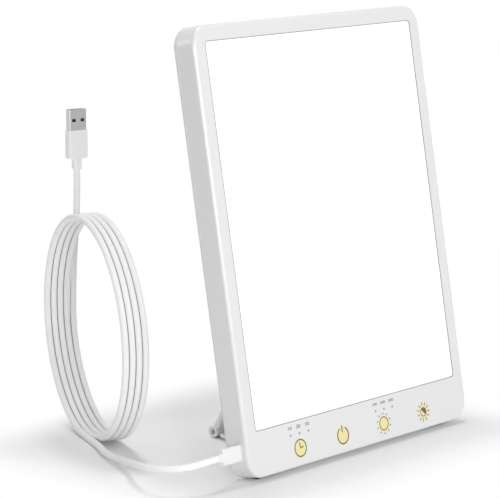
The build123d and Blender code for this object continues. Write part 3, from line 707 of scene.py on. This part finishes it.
def ring_tree() -> RepeatTree:
    """Copies of a part round a ring, each turned to point outwards.

    Returns:
        A tree with the inputs Count, Radius, First Angle, Part and Finish.
    """
    ring = RepeatTree(
        "CopiesRoundRing",
        Count="NodeSocketInt",
        Radius="NodeSocketFloat",
        First_Angle="NodeSocketFloat",
    )
    source = ring.source
    sizes = {"Vertices": source["Count"], "Radius": source["Radius"]}
    line = ring.node("GeometryNodeMeshCircle", sizes).outputs["Mesh"]
    spin = ring.node("ShaderNodeCombineXYZ", {"Z": source["First Angle"]})
    turning = {"Geometry": line, "Rotation": spin.outputs["Vector"]}
    turned = ring.node("GeometryNodeTransform", turning)
    where = ring.node("GeometryNodeInputPosition").outputs["Position"]
    split = ring.node("ShaderNodeSeparateXYZ", {"Vector": where}).outputs
    ring.close(turned.outputs["Geometry"], ring.maths("ARCTAN2", split["Y"], split["X"]))
    return ring


def scatter_tree() -> RepeatTree:
    """Copies of a part on the carrier's own points, each turned by a seeded angle.

    Returns:
        A tree with the inputs Seed, Largest Turn, Part and Finish.
    """
    scatter = RepeatTree(
        "CopiesOnPoints", Seed="NodeSocketInt", Largest_Turn="NodeSocketFloat"
    )
    source = scatter.source
    chance = scatter.node("FunctionNodeRandomValue", data_type="FLOAT")
    low, high = [s for s in chance.inputs if s.type == "VALUE" and s.enabled][:2]
    low.default_value = 0.0
    scatter.tree.links.new(source["Largest Turn"], high)
    scatter.feed(chance, {"Seed": source["Seed"]})
    scatter.close(source["Geometry"], next(s for s in chance.outputs if s.enabled))
    return scatter


RING = ring_tree()
SCATTER = scatter_tree()


# ------------------------------------------------------------------ shared finishes
WHITE_PLASTIC = Finish(
    "white_satin_plastic", srgb(224, 224, 225), roughness=0.36, grain_height=0.05
)
STAND_PLASTIC = Finish(
    "stand_white_plastic",
    srgb(244, 244, 245),
    roughness=0.42,
    grain=Grain.SPARK,
    grain_height=0.12,
)
# The cord's white jacket, with painted shade between the coil's turns.
CORD_JACKET = CreviceShadeFinish(
    "cord_white_jacket",
    srgb(249, 249, 250),
    roughness=0.42,
    grain=Grain.POLISHED,
    grain_height=0.03,
    tone_change=0.015,
    specular=0.2,
)
PLUG_PLASTIC = Finish(
    "plug_white_plastic", srgb(250, 250, 251), roughness=0.36, grain_height=0.04
)
INLET_PLASTIC = Finish(
    "inlet_plug_plastic", srgb(238, 238, 239), roughness=0.4, grain_height=0.04
)
PLATED = Finish(
    "nickel_plated_sheet",
    srgb(224, 224, 226),
    roughness=0.42,
    grain=Grain.BRUSHED,
    grain_height=0.12,
    metallic=1.0,
)
STEEL = Finish(
    "plain_steel",
    srgb(168, 169, 171),
    roughness=0.34,
    grain=Grain.BRUSHED,
    grain_height=0.15,
    metallic=1.0,
)
BRASS = Finish("brass_contact", srgb(150, 124, 74), roughness=0.45, metallic=1.0)
DARK_RUBBER = Finish(
    "dark_foot_rubber",
    srgb(52, 52, 54),
    roughness=0.75,
    grain=Grain.RUBBER,
    grain_height=0.3,
)
GREY_RUBBER = Finish(
    "grey_pad_rubber",
    srgb(196, 196, 198),
    roughness=0.7,
    grain=Grain.RUBBER,
    grain_height=0.3,
)
BLACK_MOULDING = Finish("black_component", srgb(36, 36, 38), roughness=0.45)


# ------------------------------------------------------------------ the pieces
@dataclass
class SubAssembly:
    """A group of pieces that is made and dressed together."""

    def finishes(self) -> dict[str, Finish]:
        """Finish of each carried-over piece, by its node's name."""
        return {}

    def make(self) -> list[bpy.types.Object]:
        """Makes the group's own pieces; none unless a group adds some."""
        return []

    def dress(self) -> list[bpy.types.Object]:
        """Puts the finishes on the group's carried-over pieces.

        Returns:
            The dressed pieces.
        """
        dressed = []
        for name, finish in self.finishes().items():
            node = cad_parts[name]
            material = finish.material()
            if not node.material_slots:
                node.data.materials.append(material)
            for place in node.material_slots:
                place.material = material
            dressed.append(node)
        return dressed

    def build(self) -> list[bpy.types.Object]:
        """Makes and dresses the whole group, its own pieces first."""
        return [*self.make(), *self.dress()]

    def keep(
        self, piece: bpy.types.Object, body: Body, slot: str, *stands_for: str
    ) -> bpy.types.Object:
        """Lets an own piece ride on a body and hides the pieces that it replaces.

        Args:
            piece: The finished piece.
            body: The body that it moves with.
            slot: The record's slot for its finish; not used.
            *stands_for: Carried-over pieces that it replaces.

        Returns:
            The piece.
        """
        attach(piece, body.value)
        if stands_for:
            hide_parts(*stands_for)
        return piece


@dataclass
class LightPanel(SubAssembly):
    """Case, screen and what lies behind it, with a painted shadow line round the screen."""

    side_margin: float = 9.4
    strip_height: float = 26.5
    window_corner: float = 1.6
    seam_width: float = 0.42
    seam_proud: float = 0.02
    seam_sunk: float = 0.06
    # A grey band painted where the gap between bezel and screen lies in shade.
    seam_shadow_finish: Finish = Finish("seam_shade", srgb(150, 150, 152), roughness=0.6)
    painted_icon_glow: tuple[Point, ...] = ()

    def finishes(self) -> dict[str, Finish]:
        """Finish of each part of the case and of the light's own layers.

        Returns:
            Finishes by node name.
        """
        bezel = SpottedFinish(
            "bezel_white_plastic",
            srgb(228, 228, 229),
            roughness=0.28,
            grain_height=0.04,
            tone_change=0.008,
            gloss_change=0.02,
            coat=0.7,
            # Painted glow: a pale yellow halo of light round each touch symbol, laid into
            # the bezel's colour.
            spots=self.painted_icon_glow,
            spot_colour=srgb(238, 230, 196),
            core_radius=0.0046,
            halo_radius=0.0070,
            spot_share=0.75,
        )
        screen = LitFinish(
            "lit_opal_panel",
            srgb(90, 90, 90),
            roughness=0.3,
            grain=Grain.POLISHED,
            grain_height=0.01,
        )
        clear = Finish(
            "clear_acrylic", srgb(240, 246, 246), roughness=0.1, transmission=0.8
        )
        board = Finish("white_circuit_board", srgb(228, 228, 224))
        return {
            "front_bezel": bezel,
            "rear_cover": WHITE_PLASTIC,
            "diffuser_panel": screen,
            "light_guide_plate": clear,
            "reflector_sheet": Finish(
                "white_reflector_film", srgb(246, 246, 246), roughness=0.5
            ),
            "led_strip_left": board,
            "led_strip_right": board,
            "led_packages": Finish("led_phosphor", srgb(246, 226, 140)),
            "back_plate": STEEL,
            "bottom_feet": DARK_RUBBER,
        }

    def window(self, offset: float) -> list[Flat]:
        """Corners of the window's outline.

        Args:
            offset: Millimetres outside the window's edge.

        Returns:
            Points across and up the face, anticlockwise.
        """
        half = FACE.case_width / 2 - self.side_margin
        low, high = self.strip_height, FACE.case_height - self.side_margin
        radius = self.window_corner + offset
        inset = self.window_corner
        middles = (
            (half - inset, low + inset, -90.0),
            (half - inset, high - inset, 0.0),
            (-half + inset, high - inset, 90.0),
            (-half + inset, low + inset, 180.0),
        )
        points = []
        for u, v, first in middles:
            points += arc((u, v), radius, (first, first + 90.0), ARC_END_STEPS)
        return points

    def make(self) -> list[bpy.types.Object]:
        """Makes the painted shadow line between bezel and screen as a closed grey band.

        Returns:
            The line.
        """
        shape = Shape()
        corners = (
            (0.0, -self.seam_sunk),
            (self.seam_width, -self.seam_sunk),
            (self.seam_width, self.seam_proud),
            (0.0, self.seam_proud),
        )
        loops = [shape.loop(self.window(offset), height) for offset, height in corners]
        shape.skin((*loops, loops[0]))
        seam = shape.finished("screen_seam", self.seam_shadow_finish, FACE.matrix(0, 0, 0))
        return [self.keep(seam, Body.LAMP, "case_white")]


@dataclass(frozen=True)
class CopyRing:
    """Even copies of one part round a ring; radius in millimetres, angle in degrees."""

    count: int
    radius: float
    first_angle: float


@dataclass
class TouchControls(SubAssembly):
    """The four touch symbols under the screen, and their dots and figures.

    All sizes are in millimetres and all angles in degrees.
    """

    symbols: tuple[str, ...] = ("timer", "power", "brightness", "dimmer")
    symbol_height: float = 10.4
    symbol_pitch: float = 37.35
    row_middle: float = 1.1
    warm_cores: tuple[float, ...] = (4.4, 4.4, 3.7, 1.6)
    warm_fade: float = 0.9
    proud: float = 0.02
    sunk: float = 0.06
    overlap: float = 0.003
    line: float = 0.72
    ring_radius: float = 4.8
    hand_width: float = 0.684
    long_hand: tuple[Flat, Flat] = ((0.0, 0.0), (-0.35, 3.0))
    short_hand: tuple[Flat, Flat] = ((0.25, 0.0), (2.2, 0.45))
    power_arc: Span = (118.0, 422.0)
    power_arc_width: float = 0.828
    power_bar: tuple[Flat, Flat] = ((-0.3, 2.3), (-0.3, 5.7))
    power_bar_width: float = 0.792
    sun_radius: float = 3.85
    sun_width: float = 0.612
    sun_dots: CopyRing = CopyRing(count=10, radius=5.9, first_angle=90.0)
    sun_dot_radius: float = 0.5
    sun_dot_steps: int = 16
    disc_radius: float = 2.55
    disc_rim: float = 0.25
    disc_arc: Span = (130.0, 310.0)
    disc_filling: Span = (-48.0, 138.0)
    disc_filling_steps: int = 31
    fine_width: float = 0.54
    rays: CopyRing = CopyRing(count=11, radius=4.75, first_angle=98.0)
    ray_half: float = 0.85
    figure_rows: tuple[tuple[float, float, tuple[str, ...]], ...] = (
        (-54.7, 2.0, ("10", "20", "30")),
        (20.75, 1.7, ("100", "200", "300")),
    )
    figure_pitch: float = 7.5
    figure_stretch: float = 1.4
    figure_row_height: float = 22.7
    figure_thickness: float = 0.03
    figure_size_ratio: float = 1.35
    figure_boldness: float = 0.03
    figure_middle: float = -0.012
    figure_merge: float = 0.0005
    olive_print: Finish = Finish("olive_symbol_print", srgb(102, 102, 70), roughness=0.5)
    grey_print: Finish = Finish("grey_print", srgb(94, 94, 98), roughness=0.5)

    @property
    def levels(self) -> Span:
        """Heights of a print's underside and top."""
        return -self.sunk, self.proud

    @property
    def upper_levels(self) -> Span:
        """Heights of the underside and top of a print that lies over another."""
        return -self.sunk, self.proud + self.overlap

    def across(self, index: int) -> float:
        """Place of a symbol across the face, in millimetres."""
        steps = index - (len(self.symbols) - 1) / 2
        return self.row_middle + steps * self.symbol_pitch

    def glow_points(self) -> tuple[Point, ...]:
        """Middles of the four symbols, in metres."""
        places = (self.across(i) for i in range(len(self.symbols)))
        return tuple(FACE.point(u, self.symbol_height) for u in places)

    def inlay(self, name: str, index: int) -> SpottedFinish:
        """Pale yellow inlay that is warmest in the middle of its symbol.

        Args:
            name: The finish's name.
            index: The symbol's number in the row.

        Returns:
            The finish.
        """
        core = self.warm_cores[index]
        return SpottedFinish(
            name,
            srgb(234, 227, 191),
            roughness=0.35,
            grain_height=0.03,
            spots=(self.glow_points()[index],),
            spot_colour=srgb(236, 222, 167),
            core_radius=core * MM,
            halo_radius=(core + self.warm_fade) * MM,
        )

    def finishes(self) -> dict[str, Finish]:
        """Finish of each inlay and of the indicator dots.

        Returns:
            Finishes by node name.
        """
        inlays = {
            f"{symbol}_symbol": self.inlay(f"{symbol}_inlay", i)
            for i, symbol in enumerate(self.symbols)
        }
        dots = Finish("grey_light_pipe", srgb(152, 154, 162), roughness=0.3)
        return {**inlays, "indicator_lights": dots}

    def symbol_matrix(self, index: int) -> Matrix:
        """Frame on the face at the middle of a symbol."""
        return FACE.matrix(self.across(index), self.symbol_height, 0)

    def mark(self, name: str, index: int, shape: Shape) -> bpy.types.Object:
        """Lays a print on the face round the middle of a symbol.

        Args:
            name: The print's name.
            index: The symbol's number in the row.
            shape: Its shape.

        Returns:
            The print.
        """
        piece = shape.finished(name, self.olive_print, self.symbol_matrix(index))
        return self.keep(piece, Body.LAMP, "symbol_yellow")

    def timer_mark(self) -> bpy.types.Object:
        """A clock: ring and two hands.

        Returns:
            The print.
        """
        shape = Shape()
        shape.ring(self.ring_radius, self.line, self.levels)
        shape.bar(self.long_hand, self.hand_width, self.levels)
        shape.bar(self.short_hand, self.hand_width, self.upper_levels)
        return self.mark("timer_mark", 0, shape)

    def power_mark(self) -> bpy.types.Object:
        """A ring open at the top with a bar through the gap.

        Returns:
            The print.
        """
        shape = Shape()
        shape.arc_band(self.ring_radius, self.power_arc_width, self.power_arc, self.levels)
        shape.bar(self.power_bar, self.power_bar_width, self.levels)
        return self.mark("power_mark", 1, shape)

    def brightness_mark(self) -> bpy.types.Object:
        """The ring of the sun.

        Returns:
            The print.
        """
        shape = Shape()
        shape.ring(self.sun_radius, self.sun_width, self.levels)
        return self.mark("brightness_mark", 2, shape)

    def dimmer_mark(self) -> bpy.types.Object:
        """A disc that is filled on its right side.

        Returns:
            The print.
        """
        shape = Shape()
        shape.arc_band(self.disc_radius, self.fine_width, self.disc_arc, self.levels)
        rim = self.disc_radius + self.disc_rim
        filling = arc((0.0, 0.0), rim, self.disc_filling, self.disc_filling_steps)
        shape.prism(filling, self.upper_levels)
        return self.mark("dimmer_mark", 3, shape)

    def around(
        self, name: str, index: int, ring: CopyRing, part: Shape
    ) -> bpy.types.Object:
        """Sets copies of a small mark round a symbol.

        Args:
            name: Name of the finished piece.
            index: The symbol's number in the row.
            ring: Number and places of the copies.
            part: The mark, lying along X.

        Returns:
            The finished piece.
        """
        sample = part.sample(name + "_sample", self.olive_print)
        values = {
            "Count": ring.count,
            "Radius": ring.radius,
            "First Angle": math.radians(ring.first_angle),
            "Part": sample,
            "Finish": self.olive_print.material(),
        }
        carrier = bpy.data.meshes.new(name)
        piece = RING.bake(name, carrier, values, self.symbol_matrix(index))
        bpy.data.objects.remove(sample)
        return self.keep(piece, Body.LAMP, "symbol_yellow")

    def brightness_dots(self) -> bpy.types.Object:
        """The dots round the sun.

        Returns:
            The dots as one piece.
        """
        dot = Shape()
        dot.prism(circle(self.sun_dot_radius, self.sun_dot_steps), self.levels)
        return self.around("brightness_dots", 2, self.sun_dots, dot)

    def dimmer_rays(self) -> bpy.types.Object:
        """The short rays round the half filled disc.

        Returns:
            The rays as one piece.
        """
        ray = Shape()
        ends = ((-self.ray_half, 0.0), (self.ray_half, 0.0))
        ray.bar(ends, self.fine_width, self.levels)
        return self.around("dimmer_rays", 3, self.rays, ray)

    def figure(self, word: str, height: float, across: float) -> bpy.types.Mesh:
        """One figure as a thin mesh on the face.

        Args:
            word: Its digits.
            height: Height of the digits in millimetres.
            across: Its middle across the face.

        Returns:
            The mesh, in millimetres.
        """
        text = bpy.data.curves.new("figure", "FONT")
        text.body = word
        text.align_x = "CENTER"
        text.align_y = "CENTER"
        text.size = height * self.figure_size_ratio
        text.extrude = self.figure_thickness
        text.offset = self.figure_boldness
        holder = add_object("figure", text)
        mesh = plain_mesh(holder)
        place = Matrix.Translation((across, self.figure_row_height, self.figure_middle))
        mesh.transform(place @ Matrix.Diagonal((self.figure_stretch, 1.0, 1.0, 1.0)))
        bpy.data.objects.remove(holder)
        bpy.data.curves.remove(text)
        return mesh

    def figures(self) -> bpy.types.Object:
        """Plain round numbers over the indicator dots.

        Returns:
            The figures as one piece.
        """
        joined = bmesh.new()
        for middle, height, words in self.figure_rows:
            for i, word in enumerate(words):
                mesh = self.figure(word, height, middle + (i - 1) * self.figure_pitch)
                joined.from_mesh(mesh)
                bpy.data.meshes.remove(mesh)
        bmesh.ops.remove_doubles(joined, verts=joined.verts, dist=self.figure_merge)
        piece = Shape(joined).finished("dot_figures", self.grey_print, FACE.matrix(0, 0, 0))
        return self.keep(piece, Body.LAMP, "indicator_grey")

    def make(self) -> list[bpy.types.Object]:
        """Makes all the prints."""
        return [
            self.timer_mark(),
            self.power_mark(),
            self.brightness_mark(),
            self.brightness_dots(),
            self.dimmer_mark(),
            self.dimmer_rays(),
            self.figures(),
        ]


@dataclass
class Electronics(SubAssembly):
    """Boards, their parts and the wires inside the case."""

    circuit_board: Finish = Finish("green_circuit_board", srgb(28, 92, 54))
    wire_jacket: Finish = Finish("wire_jacket", srgb(186, 186, 188), roughness=0.5)

    def finishes(self) -> dict[str, Finish]:
        """Finish of each board, part and wire.

        Returns:
            Finishes by node name.
        """
        return {
            "driver_board": self.circuit_board,
            "touch_board": self.circuit_board,
            "port_board": self.circuit_board,
            "board_components": BLACK_MOULDING,
            "touch_components": BLACK_MOULDING,
            "board_standoffs": BRASS,
            "ribbon_cable": self.wire_jacket,
            "led_wires": self.wire_jacket,
            "power_wires": self.wire_jacket,
        }


@dataclass
class PowerInlet(SubAssembly):
    """The flat plug in the lamp's left wall, and the socket that takes it."""

    def finishes(self) -> dict[str, Finish]:
        """Finish of the plug's and the socket's parts.

        Returns:
            Finishes by node name.
        """
        return {
            "lamp_plug_body": INLET_PLASTIC,
            "lamp_plug_collar": INLET_PLASTIC,
            "lamp_plug_shell": PLATED,
            "usb_socket": PLATED,
            "socket_tongue": BLACK_MOULDING,
        }


@dataclass
class UsbPlug(SubAssembly):
    """The USB-A plug on the cord's far end."""

    def finishes(self) -> dict[str, Finish]:
        """Finish of each of the plug's parts.

        Returns:
            Finishes by node name.
        """
        return {
            "usb_a_collar": PLUG_PLASTIC,
            "usb_a_overmold": PLUG_PLASTIC,
            "usb_a_shell": PLATED,
            "usb_a_insert": Finish("insert_plastic", srgb(40, 40, 44), roughness=0.5),
            "usb_a_contacts": BRASS,
        }


@dataclass
class FoldingStand(SubAssembly):
    """Bracket, base plate, strut, their pins and their rubber."""

    def finishes(self) -> dict[str, Finish]:
        """Finish of each part of the stand.

        Returns:
            Finishes by node name.
        """
        return {
            "stand_bracket": STAND_PLASTIC,
            "stand_base_plate": STAND_PLASTIC,
            "stand_strut": STAND_PLASTIC,
            "base_hinge_pin": STEEL,
            "strut_hinge_pin": STEEL,
            "base_rubber_pad": GREY_RUBBER,
            "strut_tips": GREY_RUBBER,
        }


@dataclass
class Fasteners(SubAssembly):
    """The screws; those that show get heads with a cross recess. Sizes in millimetres."""

    head_radius: float = 1.9
    head_height: float = 1.0
    head_steps: int = 24
    rim_drop: float = 0.35
    rim_round: float = 0.12
    rim_width: float = 0.4
    slot_half: float = 1.15
    slot_width: float = 0.42
    slot_depth: float = 0.5
    slot_taper: float = 0.8
    case_places: tuple[Flat, ...] = (
        *((u, 248.3) for u in (-91.5, 0.0, 91.5)),
        *((u, 5.0) for u in (-90.0, 90.0)),
    )
    case_level: float = FACE.case_depth - 0.1
    case_seed: int = 11
    bracket_places: tuple[Flat, ...] = tuple((u, 18.5) for u in (-26.0, -9.0, 9.0, 26.0))
    bracket_level: float = FACE.case_depth + 2.0
    bracket_seed: int = 23

    def finishes(self) -> dict[str, Finish]:
        """Finish of the frame's own screws."""
        return {"case_screws": STEEL, "bracket_screws": STEEL, "plate_screws": STEEL}

    def recess(self) -> list[Flat]:
        """Corners of the cross, anticlockwise.

        Returns:
            Twelve corners.
        """
        half, arm = self.slot_width / 2, self.slot_half
        quarter = ((arm, -half), (arm, half), (half, half))
        turns = ((1, 0), (0, 1), (-1, 0), (0, -1))
        return [(x * c - y * s, x * s + y * c) for c, s in turns for x, y in quarter]

    def head(self) -> bpy.types.Object:
        """One head with a domed rim and a cross recess, its top at height zero.

        Returns:
            A sample object for the copies.
        """
        shape = Shape()
        mesh = shape.mesh
        profile = (
            (self.head_radius, -self.head_height),
            (self.head_radius, -self.rim_drop),
            (self.head_radius - self.rim_round, -self.rim_round),
            (self.head_radius - self.rim_width, 0.0),
        )
        rings = [shape.loop(circle(r, self.head_steps), height) for r, height in profile]
        mesh.faces.new(reversed(rings[0]))
        shape.skin(rings)
        cross = self.recess()
        small = [(x * self.slot_taper, y * self.slot_taper) for x, y in cross]
        top, floor = shape.loop(cross, 0.0), shape.loop(small, -self.slot_depth)
        edges = []
        for loop in (rings[-1], top):
            for i, corner in enumerate(loop):
                pair = (corner, loop[(i + 1) % len(loop)])
                edges.append(mesh.edges.get(pair) or mesh.edges.new(pair))
        bmesh.ops.triangle_fill(mesh, use_beauty=True, edges=edges)
        shape.skin((top, floor))
        mesh.faces.new(floor)
        return shape.sample("screw_head_sample", STEEL)

    def make(self) -> list[bpy.types.Object]:
        """Sets the heads in the back of the case and in the stand's bracket.

        Returns:
            One piece of heads for each of the two places.
        """
        sample = self.head()
        groups = (
            ("case_screw", self.case_places, self.case_level, self.case_seed),
            ("bracket_screw", self.bracket_places, self.bracket_level, self.bracket_seed),
        )
        pieces = []
        for name, places, level, seed in groups:
            carrier = bpy.data.meshes.new(f"{name}_heads")
            carrier.from_pydata([(-u, v, 0.0) for u, v in places], [], [])
            values = {
                "Seed": seed,
                "Largest Turn": math.pi / 2,
                "Part": sample,
                "Finish": STEEL.material(),
            }
            place = FACE.back_matrix(level)
            piece = SCATTER.bake(f"{name}_heads", carrier, values, place)
            pieces.append(self.keep(piece, Body.LAMP, "screw_steel", f"{name}s"))
        bpy.data.objects.remove(sample)
        return pieces


@dataclass
class PowerCord(SubAssembly):
    """The cord from the lamp's left wall, through its upright coil, to the USB-A plug.

    All sizes and places are in metres.
    """

    diameter: float = 0.004
    length: float = 2.0
    coil_radius: float = 0.0656
    coil_pitch: float = 0.00406
    coil_lean: float = -0.001556
    coil_turns: float = 4.25
    points_per_turn: int = 24
    steps_per_point: int = 6
    roundness: int = 5
    foot: Flat = (-0.08827, 0.08743)
    axis_angle: float = math.radians(-24.52)
    exit: Point = (-0.1166, -0.045523, 0.017941)
    lead: tuple[Point, ...] = (
        (-0.1228, -0.045523, 0.017941),
        (-0.1357, -0.0425, 0.0162),
        (-0.1444, -0.0323, 0.0151),
        (-0.1461, -0.0174, 0.0142),
        (-0.1372, -0.0014, 0.0113),
        (-0.1264, 0.0132, 0.0072),
        (-0.1182, 0.0289, 0.0047),
        (-0.1106, 0.0484, 0.0032),
        (-0.0979, 0.0663, 0.0020),
    )
    tail: tuple[Point, ...] = (
        (-0.0460, 0.1400, 0.0960),
        (-0.0438, 0.13824, 0.1250),
        (-0.0438, 0.13824, 0.1522),
    )

    def coil(self) -> list[Point]:
        """Control points of the coil's turns, from its foot to its far side.

        Returns:
            The points in order.
        """
        axis = Vector((math.cos(self.axis_angle), math.sin(self.axis_angle), 0.0))
        ahead = Vector((-axis.y, axis.x, 0.0))
        middle = Vector((*self.foot, self.coil_radius + self.diameter / 2))
        reach = self.coil_radius / math.cos(math.pi / self.points_per_turn)
        points = []
        for i in range(int(self.coil_turns * self.points_per_turn)):
            share = (i + 0.5) / self.points_per_turn
            turn = 2 * math.pi * share
            along = self.coil_pitch * share + self.coil_lean * (1 - math.cos(turn))
            spot = middle + axis * along + ahead * (reach * math.sin(turn))
            spot.z -= reach * math.cos(turn)
            points.append(tuple(spot))
        return points

    def make(self) -> list[bpy.types.Object]:
        """Returns:
            The cord's curve object.
        """
        route = [self.exit, *self.lead, *self.coil(), *self.tail]
        curve = bpy.data.curves.new("power_cord", "CURVE")
        curve.dimensions = "3D"
        line = curve.splines.new("NURBS")
        line.points.add(len(route) - 1)
        for knot, place in zip(line.points, route):
            knot.co = (*place, 1.0)
        line.order_u = 3
        line.use_endpoint_u = True
        line.resolution_u = self.steps_per_point
        line.use_smooth = True
        curve.bevel_depth = self.diameter / 2
        curve.bevel_resolution = self.roundness
        curve.use_fill_caps = True
        curve.materials.append(CORD_JACKET.material())
        cord = add_object("power_cord", curve)
        self.keep(cord, Body.LAMP, "cord_white", "cord_lead", "cord_coil", "cord_tail")
        [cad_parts[name] for name in UsbPlug().finishes()]
        return [cord]


# ------------------------------------------------------------------ studio
@dataclass(frozen=True)
class Softbox:
    """A soft lamp that faces the object's middle; metres and watts."""

    name: str
    place: Point
    width: float
    height: float
    power: float
    aim: Point = (0.0, 0.0, 0.1)

    def hang(self) -> None:
        """Adds the lamp to the scene."""
        data = bpy.data.lights.new(self.name, "AREA")
        data.shape = "RECTANGLE"
        data.size = self.width
        data.size_y = self.height
        data.energy = self.power
        item = add_object(self.name, data)
        item.location = self.place
        heading = Vector(self.aim) - Vector(self.place)
        item.rotation_euler = heading.to_track_quat("-Z", "Y").to_euler()


@dataclass
class Studio:
    """Camera, floor, white surroundings and soft lamps.

    Places and sizes are in metres, the lens and its sensor in millimetres and the
    camera's turns in degrees.
    """

    camera_place: Point = (-1.0620, -0.924556, 0.3709)
    camera_pitch: float = 79.642
    camera_yaw: float = -47.889
    lens: float = 175.08
    sensor_width: float = 36.0
    nearest: float = 0.05
    farthest: float = 50.0
    floor_half: float = 4.0
    floor_level: float = -0.0001
    floor_shade: float = 0.95
    shade_middle: Point = (-0.015, 0.014, 0.0)
    shade_half: Point = (0.1, 0.076, 1.0)
    fade_length: float = 0.06
    sky: float = 0.41
    softboxes: tuple[Softbox, ...] = (
        Softbox("back_softbox", (0.1, 0.22, 1.5), 0.4, 0.4, 6.8),
        Softbox("side_softbox", (-1.15, 1.4, 0.95), 0.35, 0.9, 1.9),
        Softbox("front_softbox", (0.3, -1.9, 0.6), 1.0, 1.0, 9.3),
        Softbox("fill_softbox", (-1.05, -1.5, 0.45), 0.3, 0.3, 10.3),
    )

    def camera(self) -> None:
        """Makes the camera and gives it to the scene."""
        data = bpy.data.cameras.new("camera")
        data.lens = self.lens
        data.sensor_width = self.sensor_width
        data.sensor_fit = "HORIZONTAL"
        data.clip_start = self.nearest
        data.clip_end = self.farthest
        item = add_object("camera", data)
        item.location = self.camera_place
        pitch, yaw = math.radians(self.camera_pitch), math.radians(self.camera_yaw)
        item.rotation_euler = (pitch, 0.0, yaw)
        bpy.context.scene.camera = item

    def world(self) -> None:
        """White to the eye, in gloss and through glass, and a plain soft sky for light."""
        world = bpy.data.worlds.new("studio")
        bpy.context.scene.world = world
        world.use_nodes = True
        nodes = world.node_tree.nodes
        wiring = Wiring(world.node_tree)
        wiring.feed(nodes["Background"], {"Color": opaque_grey(1.0), "Strength": self.sky})
        plain = nodes["Background"].outputs["Background"]
        full = {"Color": opaque_grey(1.0), "Strength": 1.0}
        white = wiring.node("ShaderNodeBackground", full).outputs["Background"]
        rays = wiring.node("ShaderNodeLightPath").outputs
        share = rays["Is Camera Ray"]
        for name in ("Is Glossy Ray", "Is Transmission Ray"):
            share = wiring.maths("MAXIMUM", share, rays[name])
        mix = wiring.node("ShaderNodeMixShader", {"Fac": share, 1: plain, 2: white})
        wiring.feed(nodes["World Output"], {"Surface": mix.outputs["Shader"]})

    def floor_fade(self, wiring: Wiring) -> bpy.types.NodeSocket:
        """Share of plain white on the floor: none near the lamp, all of it farther out.

        Args:
            wiring: The floor's nodes.

        Returns:
            The share's socket.
        """
        apart = wiring.node("ShaderNodeTexCoord").outputs["Object"]
        steps = (
            ("SUBTRACT", self.shade_middle),
            ("ABSOLUTE", (0.0, 0.0, 0.0)),
            ("SUBTRACT", self.shade_half),
            ("MAXIMUM", (0.0, 0.0, 0.0)),
        )
        for operation, value in steps:
            inputs = {0: apart, 1: value}
            step = wiring.node("ShaderNodeVectorMath", inputs, operation=operation)
            apart = step.outputs["Vector"]
        length = wiring.node("ShaderNodeVectorMath", {0: apart}, operation="LENGTH")
        levels = {"Value": length.outputs["Value"], "From Max": self.fade_length}
        return wiring.smooth_range(levels)

    def floor_finish(self) -> bpy.types.Material:
        """White that keeps the shadows, fades to plain white and is clear from below.

        Returns:
            The floor's material.
        """
        material = bpy.data.materials.new("white_floor")
        material.use_nodes = True
        nodes = material.node_tree.nodes
        nodes.remove(nodes["Principled BSDF"])
        wiring = Wiring(material.node_tree)
        shade = {"Color": opaque_grey(self.floor_shade)}
        matt = wiring.node("ShaderNodeBsdfDiffuse", shade).outputs["BSDF"]
        white = wiring.node("ShaderNodeEmission", {"Strength": 1.0})
        rays = wiring.node("ShaderNodeLightPath").outputs
        share = wiring.maths("MULTIPLY", self.floor_fade(wiring), rays["Is Camera Ray"])
        upper = {"Fac": share, 1: matt, 2: white.outputs["Emission"]}
        sides = {
            "Fac": wiring.node("ShaderNodeNewGeometry").outputs["Backfacing"],
            1: wiring.node("ShaderNodeMixShader", upper).outputs["Shader"],
            2: wiring.node("ShaderNodeBsdfTransparent").outputs["BSDF"],
        }
        both = wiring.node("ShaderNodeMixShader", sides).outputs["Shader"]
        wiring.feed(nodes["Material Output"], {"Surface": both})
        return material

    def floor(self) -> None:
        """Lays the floor just under the object."""
        half = self.floor_half
        corners = ((-half, -half), (half, -half), (half, half), (-half, half))
        data = bpy.data.meshes.new("floor")
        data.from_pydata([(x, y, self.floor_level) for x, y in corners], [], [(0, 1, 2, 3)])
        item = add_object("floor", data)
        data.materials.append(self.floor_finish())

    def build(self) -> None:
        """Makes the camera first, then the surroundings and the light."""
        self.camera()
        self.world()
        self.floor()
        for softbox in self.softboxes:
            softbox.hang()
        bpy.context.scene.view_settings.view_transform = "Standard"


def main() -> None:
    """Builds the scene in order and reports each piece."""
    logging.basicConfig(level=logging.INFO, format="%(name)s: %(message)s")
    Studio().build()
    log.info("studio ready")
    controls = TouchControls()
    assemblies: tuple[SubAssembly, ...] = (
        PowerCord(),
        LightPanel(painted_icon_glow=controls.glow_points()),
        controls,
        Electronics(),
        PowerInlet(),
        UsbPlug(),
        FoldingStand(),
        Fasteners(),
    )
    for assembly in assemblies:
        for piece in assembly.build():
            log.info("%s: %s", type(assembly).__name__, piece.name)


if __name__ == "__main__":
    main()
